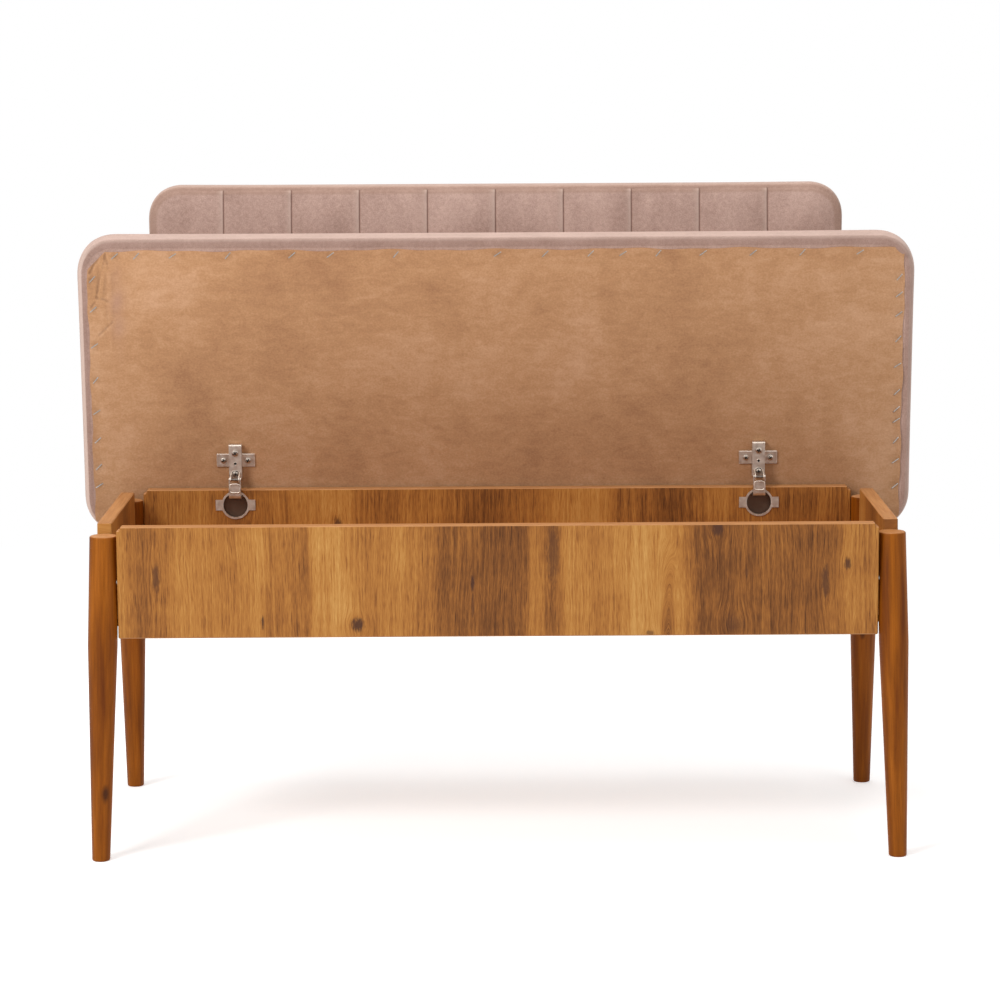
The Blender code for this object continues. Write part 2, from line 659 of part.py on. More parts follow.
def make_arm(name, side, pivot, steel):
    """A pressed channel over the plate's boss, with a narrower neck that ends in two ears."""
    x = side * HINGE_X
    plate_face = UNDERSIDE_OVER_PIVOT - GAP - PLATE_SHEET - GAP
    pin = in_lid_frame(arm_pin_open())
    half, sheet = ARM_WIDTH / 2, ARM_SHEET
    outline = [
        (-ARM_FAR, plate_face),
        (-ARM_FAR, arm_level(ARM_FAR) + 0.0015),
        (-ARM_FAR + 0.0015, arm_level(ARM_FAR)),
        (-ARM_NEAR, arm_level(ARM_NEAR)),
        (-ARM_NEAR, plate_face),
    ]
    arm = make_piece(name, slab(outline, x - half, x + half), pivot, steel, (x, *pin))
    inside = [
        (-ARM_FAR - 0.002, plate_face + 0.002),
        (-ARM_FAR - 0.002, arm_level(ARM_FAR) + sheet),
        (-ARM_NEAR + 0.002, arm_level(ARM_NEAR) + sheet),
        (-ARM_NEAR + 0.002, plate_face + 0.002),
    ]
    combine(arm, slab(inside, x - half + sheet, x + half - sheet))
    neck_half = LINK_WIDTH / 2 - LINK_SHEET - GAP
    lift = 0.0004
    level = arm_level(ARM_NEAR)
    ear = [
        (pin[0] - EAR_RADIUS * 1.5, level + lift),
        (-ARM_NEAR - 0.0005, level + lift),
        (-ARM_NEAR - 0.0005, level - 0.002),
    ]
    ear += arc(pin, EAR_RADIUS, 0.3, -pi, 10)
    combine(arm, slab(ear, x - neck_half, x + neck_half), "UNION")
    between = [
        (pin[0] - ARM_NEAR, level + GAP / 3),
        (pin[0] - ARM_NEAR, level - ARM_NEAR),
        (pin[0] + ARM_NEAR, level - ARM_NEAR),
        (pin[0] + ARM_NEAR, level + GAP / 3),
    ]
    combine(arm, slab(between, x - neck_half + sheet, x + neck_half - sheet))
    slot = slot_outline(pin, PIN_RADIUS + GAP)
    combine(arm, slab(slot, x - half, x + half))
    for forward in (FIXING_SCREW_AT, ADJUSTING_SCREW_AT):
        start = (x, -forward, arm_level(forward) - 0.004)
        stop = (x, -forward, arm_level(forward) + 0.0035)
        combine(arm, rod(start, stop, 0.0020 + GAP))
    return arm


def make_plate(name, side, pivot, steel):
    """The cross-shaped mounting plate: two wings and a boss under the arm."""
    x = side * HINGE_X
    top = UNDERSIDE_OVER_PIVOT - GAP
    half, breadth = PLATE_WIDTH / 2, PLATE_BREADTH / 2
    low = (x - half, -PLATE_CENTRE - breadth, top - PLATE_SHEET)
    origin = (x, -PLATE_CENTRE, top)
    plate = make_piece(name, block(low, (x + half, -PLATE_CENTRE + breadth, top), 0.0006),
                       pivot, steel, origin)
    boss_half = ARM_WIDTH / 2 - ARM_SHEET - 2 * GAP
    low = (x - boss_half, -ARM_FAR + 0.001, top - PLATE_BOSS_HEIGHT)
    high = (x + boss_half, -ARM_NEAR - 0.001, top - 0.0004)
    combine(plate, block(low, high), "UNION")
    for spot in plate_screw_spots(side):
        start, stop = (*spot, top - PLATE_SHEET * 2), (*spot, top + PLATE_SHEET)
        combine(plate, rod(start, stop, screw_radius() + GAP))
    for forward in (FIXING_SCREW_AT, ADJUSTING_SCREW_AT):
        start = (x, -forward, top - PLATE_BOSS_HEIGHT - 0.001)
        stop = (x, -forward, top - PLATE_BOSS_HEIGHT + 0.0060)
        combine(plate, rod(start, stop, 0.0020 + GAP))


def make_hinge_screws(hand, side, pivot, steel):
    """Two wood screws in the plate's wings and two machine screws in the arm."""
    x = side * HINGE_X
    face = UNDERSIDE_OVER_PIVOT - GAP - PLATE_SHEET
    tip = UNDERSIDE_OVER_PIVOT + screw_reach() - face
    for place, spot in zip(("inner", "outer")[::side], plate_screw_spots(side)):
        start = (*spot, face)
        profile = [(-0.0018, 0.0026), (-0.0012, 0.0034), (-GAP, 0.0036), (-GAP / 2, 0.0018)]
        profile += [(tip - 0.004, screw_radius()), (tip, 0.0006)]
        screw = turned(profile, start, (0, 0, 1))
        name = f"{hand}_plate_{place}_screw"
        make_piece(name, screw, pivot, steel, start, smooth=True)
    boss_face = UNDERSIDE_OVER_PIVOT - GAP - PLATE_BOSS_HEIGHT
    for name, forward in (("fixing", FIXING_SCREW_AT), ("adjusting", ADJUSTING_SCREW_AT)):
        face = arm_level(forward)
        start = (x, -forward, face)
        reach = boss_face + 0.0055 - face
        slope = 0.0004
        profile = [(-0.0024, 0.0030), (-0.0018, 0.0036), (-slope, 0.0036), (-slope, 0.0020)]
        profile += [(reach - 0.0006, 0.0020), (reach, 0.0014)]
        screw = turned(profile, start, (0, 0, 1))
        make_piece(f"{hand}_arm_{name}_screw", screw, pivot, steel, start, smooth=True)


def link_outline(axis):
    """The side of a link: an eye in the cup, an elbow round the panel's edge, an eye above."""
    pin = arm_pin_open()
    y0, z0, y1, z1 = axis.y, axis.z, pin.y, pin.z
    elbow_y = INNER_REAR - LINK_ELBOW_FRONT
    half = LINK_HALF_BREADTH
    outline = arc((y0, z0), half, -pi / 2, pi / 2, 6)
    outline += arc((elbow_y + 2 * half, z0 + 2 * half), half, -pi / 2, -pi, 3)
    outline += arc((y1, z1), half, 0, pi, 6)
    outline += arc((elbow_y + half, z0 + half), 2 * half, pi, 3 * pi / 2, 4)
    return outline


def make_link(name, side, pivot, axis, steel):
    """A bent sheet link: two cheeks and, on the room's side, the web that joins them."""
    x = side * HINGE_X
    half, sheet = LINK_WIDTH / 2, LINK_SHEET
    outline = [(y - axis.y, z - axis.z) for y, z in link_outline(axis)]
    link = make_piece(name, slab(outline, x - half, x + half), pivot, steel, (x, 0, 0))
    pin = arm_pin_open() - axis
    inside = LINK_HALF_BREADTH * 2
    front = INNER_REAR - LINK_ELBOW_FRONT - LINK_HALF_BREADTH - axis.y
    web_top = pin.z - EAR_RADIUS - SLOT_TRAVEL - 2 * GAP
    room = [
        (inside, -inside * 2),
        (front + sheet + 0.0024, -inside * 2),
        (front + sheet + 0.0024, -0.0010),
        (front + sheet, 0.0014),
        (front + sheet, web_top),
        (front - inside, web_top),
        (front - inside, pin.z + inside * 2),
        (inside, pin.z + inside * 2),
    ]
    combine(link, slab(room, x - half + sheet, x + half - sheet))
    hole_start, hole_stop = (x - 2 * half, 0, 0), (x + 2 * half, 0, 0)
    combine(link, rod(hole_start, hole_stop, PIN_RADIUS + GAP))
    start, stop = (x - 2 * half, pin.y, pin.z), (x + 2 * half, pin.y, pin.z)
    combine(link, rod(start, stop, PIN_RADIUS + GAP))


def make_cup(name, side, frame, steel):
    """The round cup let into the rear panel, with the flange and wings that lie on its face."""
    x, z = side * HINGE_X, cup_height()
    centre = Vector((x, INNER_REAR, z))
    depth = CUP_BORE_DEPTH - GAP
    body = rod(centre - Vector((0, GAP, 0)), centre + Vector((0, depth, 0)), CUP_RADIUS, 32)
    cup = make_piece(name, body, frame, steel, centre, smooth=True)
    face = INNER_REAR - GAP
    flange = rod((x, face - CUP_WALL, z), (x, face, z), CUP_FLANGE_RADIUS, 32)
    combine(cup, flange, "UNION")
    half, high = CUP_WING_LENGTH / 2, CUP_WING_HEIGHT / 2
    low = (x - half, face - CUP_WALL + 0.0001, z - high)
    combine(cup, block(low, (x + half, face - 0.0001, z + high)), "UNION")
    floor = centre + Vector((0, depth - CUP_WALL, 0))
    mouth = centre - Vector((0, BOARD, 0))
    combine(cup, rod(mouth, floor, CUP_RADIUS - CUP_WALL, 32))


def make_hinges(frame, lid_pivot, link_pivot, axis, steel, dark_steel):
    """Both hinges: cup and pin on the box, link and pin on their own pivot, arm on the lid."""
    for hand, side in (("left", -1), ("right", 1)):
        x = side * HINGE_X
        make_cup(f"{hand}_hinge_cup", side, frame, steel)
        inner = CUP_RADIUS - CUP_WALL
        rise = axis.z - cup_height() + PIN_RADIUS
        half = inner * cos(asin(rise / inner)) - GAP
        start, stop = (x - half, axis.y, axis.z), (x + half, axis.y, axis.z)
        cup_pin = rod(start, stop, PIN_RADIUS, 12)
        make_piece(f"{hand}_cup_pin", cup_pin, frame, dark_steel, (x, axis.y, axis.z), smooth=True)
        make_link(f"{hand}_hinge_link", side, link_pivot, axis, steel)
        pin = arm_pin_open() - axis
        half = LINK_WIDTH / 2
        start, stop = (x - half, pin.y, pin.z), (x + half, pin.y, pin.z)
        arm_pin = rod(start, stop, PIN_RADIUS, 12)
        make_piece(f"{hand}_arm_pin", arm_pin, link_pivot, dark_steel, (x, pin.y, pin.z), smooth=True)
        make_arm(f"{hand}_hinge_arm", side, lid_pivot, steel)
        make_plate(f"{hand}_mounting_plate", side, lid_pivot, steel)
        make_hinge_screws(hand, side, lid_pivot, steel)


def bent_bar(path, thickness, bend):
    """The side outline of a flat bar bent through right angles along a path."""
    outer, inner = [path[0]], [path[0]]
    left, right = [], []
    spots = [Vector(point) for point in path]
    for i, spot in enumerate(spots):
        before = (spot - spots[i - 1]).normalized() if i else None
        after = (spots[i + 1] - spot).normalized() if i + 1 < len(spots) else None
        if before is None or after is None:
            along = after or before
            across = Vector((-along.y, along.x)) * thickness / 2
            left.append(spot + across)
            right.append(spot - across)
            continue
        turn = before.x * after.y - before.y * after.x
        centre = spot - before * bend + Vector((-before.y, before.x)) * bend * turn
        for step in range(5):
            angle = pi / 2 * step / 4 * turn
            arm = Matrix.Rotation(angle, 2) @ (spot - before * bend - centre)
            reach = arm.normalized() * thickness / 2 * turn
            left.append(centre + arm - reach)
            right.append(centre + arm + reach)
    return [tuple(point) for point in left + right[::-1]]


def make_brackets(frame, painted, zinc):
    """Two J-shaped flat bars from the rear panel, under the seat's sweep, up to the backrest."""
    plate_y = BOX_DEPTH / 2 + GAP + BRACKET_SHEET / 2
    upright_y = BACKREST_REAR + GAP + BRACKET_SHEET / 2
    path = [
        (plate_y, PANEL_BOTTOM + BRACKET_PLATE_TOP),
        (plate_y, PANEL_BOTTOM + BRACKET_RUN_HEIGHT),
        (upright_y, PANEL_BOTTOM + BRACKET_RUN_HEIGHT),
        (upright_y, BRACKET_UPRIGHT_TOP),
    ]
    outline = bent_bar(path, BRACKET_SHEET, BRACKET_BEND)
    for hand, side in (("left", -1), ("right", 1)):
        x = side * BRACKET_X
        half = BRACKET_WIDTH / 2
        origin = (x, BOX_DEPTH / 2, BOX_BOLT_HEIGHT)
        bar = make_piece(f"{hand}_backrest_bracket", slab(outline, x - half, x + half),
                         frame, painted, origin)
        for place, spread in (("inner", -side), ("outer", side)):
            bolt_x = x + spread * BOX_BOLT_SPREAD / 2
            head = Vector((bolt_x, INNER_REAR - GAP, BOX_BOLT_HEIGHT))
            length = BOARD + 2 * GAP + BRACKET_SHEET
            start, stop = head, head + Vector((0, length + BOARD, 0))
            combine(bar, rod(start, stop, BOLT_RADIUS + GAP))
            bolt = bolt_shape(head, (0, 1, 0), length)
            make_piece(f"{hand}_bracket_{place}_bolt", bolt, frame, zinc, head, smooth=True)
        for place, height in (("low", BACK_BOLT_LOW), ("high", BACK_BOLT_HIGH)):
            head = Vector((x, BRACKET_REAR + GAP, height))
            length = BRACKET_SHEET + 2 * GAP + BACKING + BACKREST_BOARD * 0.8
            start, stop = head + Vector((0, BOARD, 0)), head - Vector((0, length, 0))
            combine(bar, rod(start, stop, BOLT_RADIUS + GAP))
            bolt = bolt_shape(head, (0, -1, 0), length)
            make_piece(f"{hand}_backrest_{place}_bolt", bolt, frame, zinc, head, smooth=True)


def bolt_shape(head, direction, length):
    """A low round-headed bolt, with its head behind the point and its shank ahead of it."""
    dome = BOLT_HEAD_RADIUS * 0.65
    profile = [(-BOLT_HEAD, dome), (-BOLT_HEAD * 0.6, BOLT_HEAD_RADIUS), (0, BOLT_HEAD_RADIUS)]
    profile += [(0.0001, BOLT_RADIUS), (length - 0.001, BOLT_RADIUS), (length, BOLT_RADIUS * 0.8)]
    return turned(profile, head, direction)


def make_backrest(frame, velvet, chipboard, lining):
    """The channelled cushion, its board and the lining on the back."""
    height = BACKREST_TOP - BACKREST_BOTTOM
    middle = Vector((0, BACKREST_REAR, BACKREST_BOTTOM + height / 2))
    place = Matrix.Translation(middle) @ Matrix.Rotation(pi / 2, 4, "X")
    first = -SEAM_PITCH * (SEAM_COUNT - 1) / 2
    seams = [first + SEAM_PITCH * i for i in range(SEAM_COUNT)]
    cushion = padded_form(BACKREST_WIDTH, height, BACKREST_CORNER, BACKREST_THICKNESS,
                          BACKREST_EDGE_HEIGHT, BACKREST_BOARD, seams, SEAM_DEPTH)
    make_piece("backrest_cushion", moved(cushion, place), frame, velvet, middle, smooth=True)
    inset = COVER_WALL + GAP
    low = BACKING + GAP
    sheet = rounded_sheet(BACKREST_WIDTH - 2 * inset, height - 2 * inset, BACKREST_CORNER - inset,
                          low, low + BACKREST_BOARD)
    board = make_piece("backrest_board", moved(sheet, place), frame, chipboard, middle)
    inset = BACKING_INSET
    sheet = rounded_sheet(BACKREST_WIDTH - 2 * inset, height - 2 * inset, BACKREST_CORNER - inset,
                          0, BACKING)
    back = make_piece("backrest_lining", moved(sheet, place), frame, lining, middle)
    for side in (-1, 1):
        for level in (BACK_BOLT_LOW, BACK_BOLT_HIGH):
            start = Vector((side * BRACKET_X, BACKREST_REAR + BACKING, level))
            reach = BRACKET_SHEET + 2 * GAP + BACKING + BACKREST_BOARD * 0.8
            stop = Vector((start.x, BRACKET_REAR + GAP - reach - GAP, level))
            combine(board, rod(start, stop, BOLT_RADIUS + GAP))
            combine(back, rod(start, stop, BOLT_RADIUS + GAP))


def build():
    """Puts the bench together."""
    for old in list(bpy.data.objects):
        bpy.data.objects.remove(old, do_unlink=True)
    laminate = make_material("wood-print laminate", (0.42, 0.22, 0.09), 0.45)
    beech = make_material("stained beech", (0.36, 0.14, 0.035), 0.38)
    velvet = make_material("dusty rose velvet", (0.42, 0.26, 0.22), 0.9)
    chipboard = make_material("raw chipboard", (0.50, 0.36, 0.21), 0.8)
    kraft = make_material("kraft paperboard", (0.50, 0.30, 0.17), 0.85)
    lining = make_material("black lining", (0.03, 0.03, 0.03), 0.9)
    steel = make_material("nickel-plated steel", (0.60, 0.56, 0.50), 0.25, 1.0)
    dark_steel = make_material("plain steel", (0.35, 0.34, 0.33), 0.35, 1.0)
    zinc = make_material("zinc-plated steel", (0.62, 0.62, 0.62), 0.35, 1.0)
    painted = make_material("black powder coat", (0.02, 0.02, 0.02), 0.5)

    frame = make_empty("bench", (0, BOX_CENTRE_Y, 0))
    lid_pivot = make_empty("lid_pivot", PIVOT, frame, -LID_OPEN_ANGLE)
    axis = link_axis()
    link_pivot = make_empty("link_pivot", axis, frame)

    make_legs(frame, beech)
    make_long_panels(frame, laminate)
    make_end_panels(frame, laminate)
    make_base(frame, laminate)
    make_box_fasteners(frame, dark_steel, zinc, beech)
    make_lid(lid_pivot, velvet, chipboard, kraft)
    make_hinges(frame, lid_pivot, link_pivot, axis, steel, dark_steel)
    make_backrest(frame, velvet, chipboard, lining)
    make_brackets(frame, painted, zinc)


build()
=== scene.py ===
from functools import partial
from math import cos, pi, radians, sin, tau

import bmesh
import bpy
import numpy as np
from mathutils import Matrix, Vector


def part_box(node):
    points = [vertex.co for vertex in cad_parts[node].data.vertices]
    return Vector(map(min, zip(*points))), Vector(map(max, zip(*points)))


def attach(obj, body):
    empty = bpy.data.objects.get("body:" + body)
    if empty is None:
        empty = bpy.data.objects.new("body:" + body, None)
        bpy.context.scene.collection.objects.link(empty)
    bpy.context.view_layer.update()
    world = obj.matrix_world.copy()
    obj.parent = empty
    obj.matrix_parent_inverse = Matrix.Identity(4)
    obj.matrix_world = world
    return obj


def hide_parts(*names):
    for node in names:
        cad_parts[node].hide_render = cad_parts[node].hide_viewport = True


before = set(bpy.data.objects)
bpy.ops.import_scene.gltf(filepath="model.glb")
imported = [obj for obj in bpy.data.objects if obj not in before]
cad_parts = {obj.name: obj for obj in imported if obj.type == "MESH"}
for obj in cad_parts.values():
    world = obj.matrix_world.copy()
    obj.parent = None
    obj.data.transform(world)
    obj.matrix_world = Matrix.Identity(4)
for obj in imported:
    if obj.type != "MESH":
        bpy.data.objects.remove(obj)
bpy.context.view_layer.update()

# Legs. Each is a solid beech turning, stained orange-brown and lacquered, thickest at the
# box's bottom edge and tapering to a small foot. Top and foot are cut level, with the top's
# edge eased over, and the whole leg leans outwards and a little to its side.
LEG_TOP = 0.395
LEG_TOP_RADIUS = 0.0172
LEG_WIDEST_RADIUS = 0.0182
LEG_WIDEST_HEIGHT = 0.262
FOOT_RADIUS = 0.0110
EASED_EDGE = 0.0020
LEG_SIDES = 80
SPLAY = np.array([0.006, 0.0495])
panel_low, panel_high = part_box("front_panel")
BOX_MIDDLE = (panel_low.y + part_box("rear_panel")[1].y) / 2
LEG_TOP_PLACE = np.array([panel_high.x + LEG_TOP_RADIUS + 0.0003, 0.151])
RGBA = dict(out=2, data_type="RGBA")  # settings by which a Mix node mixes colours


def paint(code):
    """Linear red, green, blue and opacity from an sRGB hex code."""
    parts = np.array([int(code[i:i + 2], 16) for i in (1, 3, 5)]) / 255
    linear = np.where(parts <= 0.04045, parts / 12.92, ((parts + 0.055) / 1.055) ** 2.4)
    return (*linear.tolist(), 1.0)


def add(tree, kind, inputs=(), out=0, stops=(), **settings):
    """Adds one node, named with its operation; inputs go by name, by number or in order."""
    kind, *operation = kind.split()
    node = tree.nodes.new("ShaderNode" + kind)
    if operation:
        node.operation = operation[0]
    for key, value in settings.items():
        setattr(node, key, value)
    for key, value in inputs.items() if isinstance(inputs, dict) else enumerate(inputs):
        if isinstance(value, bpy.types.NodeSocket):
            tree.links.new(value, node.inputs[key])
        else:
            node.inputs[key].default_value = value
    for i, (position, colour) in enumerate(stops):
        ramp = node.color_ramp
        element = ramp.elements[i] if i < 2 else ramp.elements.new(position)
        element.position = position
        element.color = paint(colour)
    return node.outputs[out]


def new_finish(name, roughness, metallic=0.0, **more):
    """A material named for a finish, what adds nodes to it, and its Principled shader."""
    material = bpy.data.materials.new(name)
    material.use_nodes = True
    shader = material.node_tree.nodes["Principled BSDF"]
    shader.inputs["Roughness"].default_value = roughness
    shader.inputs["Metallic"].default_value = metallic
    for key, value in more.items():
        shader.inputs[key.replace("_", " ")].default_value = value
    return material, partial(add, material.node_tree), shader


def lay_on(shader, colour, relief=None, strength=0.0, depth=0.0, rough=None):
    """Links a finish's colour, its relief as a bump of some depth, and its roughness."""
    links = shader.id_data.links
    links.new(colour, shader.inputs["Base Color"])
    if relief is not None:
        bump = add(shader.id_data, "Bump", {"Strength": strength, "Distance": depth,
                                            "Height": relief})
        links.new(bump, shader.inputs["Normal"])
    if rough is not None:
        links.new(rough, shader.inputs["Roughness"])


def summed(node, *patterns):
    """Adds up patterns, each brought from its own range to the share given after it."""
    total = None
    for pattern, *ranges in patterns:
        share = node("MapRange", [pattern, *ranges])
        total = share if total is None else node("Math ADD", [total, share])
    return total


def grid_faces(rows, columns, wrap=False, start=0):
    """Quads between neighbouring rows and columns of a grid; wrap joins last column to first."""
    row = np.arange(rows - 1)[:, None] * columns + start
    column = np.arange(columns if wrap else columns - 1)[None]
    after = (column + 1) % columns
    corners = (row + column, row + after, row + columns + after, row + columns + column)
    return np.stack(corners, -1).reshape(-1, 4).tolist()


def capped_tube(rings, sides):
    """Faces of a tube of rings, closed at both ends."""
    last = (rings - 1) * sides
    ends = [list(range(sides)), list(range(last, last + sides))]
    return grid_faces(rings, sides, wrap=True) + ends


def put_mesh(name, points, faces, material, body, sharp=35, fields=None):
    """A closed surface of points and faces, facing outwards, that rides on a body."""
    mesh = bpy.data.meshes.new(name)
    mesh.from_pydata(np.asarray(points).reshape(-1, 3).tolist(), [], faces)
    for key, values in (fields or {}).items():
        is_vector = values.size > len(mesh.vertices)
        field = mesh.attributes.new(key, "FLOAT_VECTOR" if is_vector else "FLOAT", "POINT")
        field.data.foreach_set("vector" if is_vector else "value", values.ravel())
    work = bmesh.new()
    work.from_mesh(mesh)
    bmesh.ops.recalc_face_normals(work, faces=work.faces)
    work.to_mesh(mesh)
    work.free()
    mesh.shade_smooth()
    mesh.set_sharp_from_angle(angle=radians(sharp))
    mesh.materials.append(material)
    piece = bpy.data.objects.new(name, mesh)
    bpy.context.scene.collection.objects.link(piece)
    if body:
        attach(piece, body)
    return piece


# Stained beech: straight, fine-grained wood with short ray flecks about 1 mm long, whose
# stain lies darker in the coarser streaks. The lacquer leaves a soft satin shine.
beech, node, shader = new_finish("stained_and_lacquered_beech", 0.5, Specular_IOR_Level=0.16)
grain = node("Attribute", [], 1, attribute_name="leg_grain")
stretched = node("VectorMath MULTIPLY", [grain, (1, 1, 0.07)])
streaks = node("TexNoise", {"Vector": stretched, "Scale": 90.0, "Detail": 4.0})
fibre_place = node("VectorMath MULTIPLY", [grain, (1, 1, 0.03)])
fibres = node("TexNoise", {"Vector": fibre_place, "Scale": 800.0, "Detail": 2.0})
fleck_place = node("VectorMath MULTIPLY", [grain, (1, 1, 0.35)])
flecks = node("TexVoronoi", {"Vector": fleck_place, "Scale": 900.0})
tone = node("MapRange", [streaks, 0.3, 0.7])
body_colour = node("ValToRGB", [tone], stops=[(0.0, "#6C3303"), (1.0, "#A95F14"),
                                              (0.35, "#854504"), (0.7, "#975209")])
fibre_tone = node("MapRange", [fibres, 0.3, 0.75, 0.82, 1.08])
fleck_tone = node("MapRange", [flecks, 0.0, 0.35, 0.80, 1.0])
both = node("Math MULTIPLY", [fibre_tone, fleck_tone])
side_colour = node("Mix", {0: 1.0, 6: body_colour, 7: both}, **RGBA, blend_type="MULTIPLY")
knot = node("Attribute", [], 2, attribute_name="leg_knot")
side_colour = node("Mix", {0: knot, 6: side_colour, 7: paint("#4A2408")}, **RGBA)
# The level top shows end grain, painted paler as light falls on it from above
rings = node("TexWave", {"Vector": grain, "Scale": 130.0, "Distortion": 2.5, "Detail": 2.0}, 1,
             wave_type="RINGS")
lit_end_grain_colour = node("Mix", {0: rings, 6: paint("#B0743F"), 7: paint("#CB9263")}, **RGBA)
normal = node("NewGeometry", [], 1)
upward = node("SeparateXYZ", [normal], 2)
is_end = node("MapRange", [upward, 0.55, 0.9])
leg_colour = node("Mix", {0: is_end, 6: side_colour, 7: lit_end_grain_colour}, **RGBA)
lay_on(shader, leg_colour, both, 0.25, 0.0003)

eased = np.linspace(0, pi / 2, 6)
levels = np.concatenate([EASED_EDGE * (1 - np.cos(eased)), np.linspace(0.004, 0.392, 90),
                         LEG_TOP - EASED_EDGE * (1 - np.sin(eased))])
inset = np.concatenate([EASED_EDGE * (1 - np.sin(eased)), np.zeros(90),
                        EASED_EDGE * (1 - np.cos(eased))])
knots_of_legs = {"front_left_leg": (-1.1, 0.083, 0.004), "rear_right_leg": (-1.7, 0.21, 0.003)}
for seed, (row, end, hand, side) in enumerate([
        ("front", -1, "left", -1), ("front", -1, "right", 1),
        ("rear", 1, "left", -1), ("rear", 1, "right", 1)]):
    name = f"{row}_{hand}_leg"
    radius = np.interp(levels, [0, LEG_WIDEST_HEIGHT, LEG_TOP],
                       [FOOT_RADIUS, LEG_WIDEST_RADIUS, LEG_TOP_RADIUS]) - inset
    down = (LEG_TOP - levels)[:, None] / LEG_TOP
    centre = (LEG_TOP_PLACE + SPLAY * down) * (side, end) + (0, BOX_MIDDLE)
    turn = np.arange(LEG_SIDES) * tau / LEG_SIDES
    across = radius[:, None, None] * np.stack([np.cos(turn), np.sin(turn)], -1)[None]
    height = np.repeat(levels[:, None, None], LEG_SIDES, 1)
    points = np.concatenate([centre[:, None] + across, height], -1)
    local = np.concatenate([across, height + 3.1 * (seed + 1)], -1)
    local[..., 0] += 0.006 * (seed - 1.3)
    knot_turn, knot_height, knot_size = knots_of_legs.get(name, (0, -1, 0.001))
    off = np.hypot((turn[None] - knot_turn % tau) * radius[:, None],
                   0.5 * (height[..., 0] - knot_height))
    dark = np.clip(1.6 - off / knot_size, 0, 1)
    leg = put_mesh(name + "_turning", points, capped_tube(len(levels), LEG_SIDES), beech,
                   "frame", fields=dict(leg_grain=local, leg_knot=dark))
    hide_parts(name)

# Box boards. The four walls are 18 mm boards faced with a wood-print laminate whose grain
# stands upright, with a plain tan band ironed along their top edges. The front board's print
# shows planks of many tones, knots and one run of arched grain.
PLANKS = {
    "front_panel": [
        (0.00, 0.60), (0.03, 0.36), (0.055, 0.47), (0.10, 0.60), (0.15, 0.52), (0.185, 0.66),
        (0.215, 0.50), (0.25, 0.42), (0.262, 0.72), (0.30, 0.70), (0.325, 0.50), (0.365, 0.60),
        (0.405, 0.46), (0.425, 0.30), (0.485, 0.34), (0.505, 0.30), (0.535, 0.26), (0.548, 0.58),
        (0.572, 0.34), (0.592, 0.66), (0.645, 0.50), (0.68, 0.72), (0.735, 0.66), (0.76, 0.34),
        (0.80, 0.27), (0.85, 0.40), (0.875, 0.30), (0.93, 0.34), (0.965, 0.56), (1.0, 0.58)],
    "others": [
        (0.0, 0.45), (0.07, 0.60), (0.13, 0.35), (0.2, 0.52), (0.28, 0.66), (0.33, 0.40),
        (0.41, 0.50), (0.46, 0.28), (0.55, 0.48), (0.62, 0.70), (0.68, 0.42), (0.75, 0.30),
        (0.82, 0.56), (0.9, 0.38), (1.0, 0.5)]}
# Each knot: across and up from the board's middle, its half-width and half-height, darkness
KNOTS = {
    "front_panel": [
        (-0.418, 0.006, 0.0050, 0.018, 0.70), (-0.288, -0.050, 0.0016, 0.009, 0.85),
        (-0.172, -0.053, 0.0085, 0.0090, 0.95), (-0.031, -0.002, 0.0024, 0.012, 0.95),
        (-0.031, -0.028, 0.0014, 0.018, 0.55), (0.067, 0.034, 0.0075, 0.040, 0.50),
        (0.268, 0.062, 0.0075, 0.009, 0.85), (0.304, 0.008, 0.0022, 0.0055, 0.45),
        (0.400, -0.002, 0.0050, 0.022, 0.75), (0.427, 0.019, 0.0042, 0.008, 0.85),
        (0.186, -0.066, 0.0050, 0.004, 0.60), (0.289, -0.055, 0.0120, 0.014, 0.40)],
    "others": [
        (-0.21, 0.02, 0.006, 0.012, 0.8), (0.12, -0.03, 0.004, 0.010, 0.8),
        (0.33, 0.045, 0.003, 0.012, 0.6)]}
ARCHES = {"front_panel": (0.206, 0.017, 0.040), "others": (-0.33, 0.020, 0.030)}


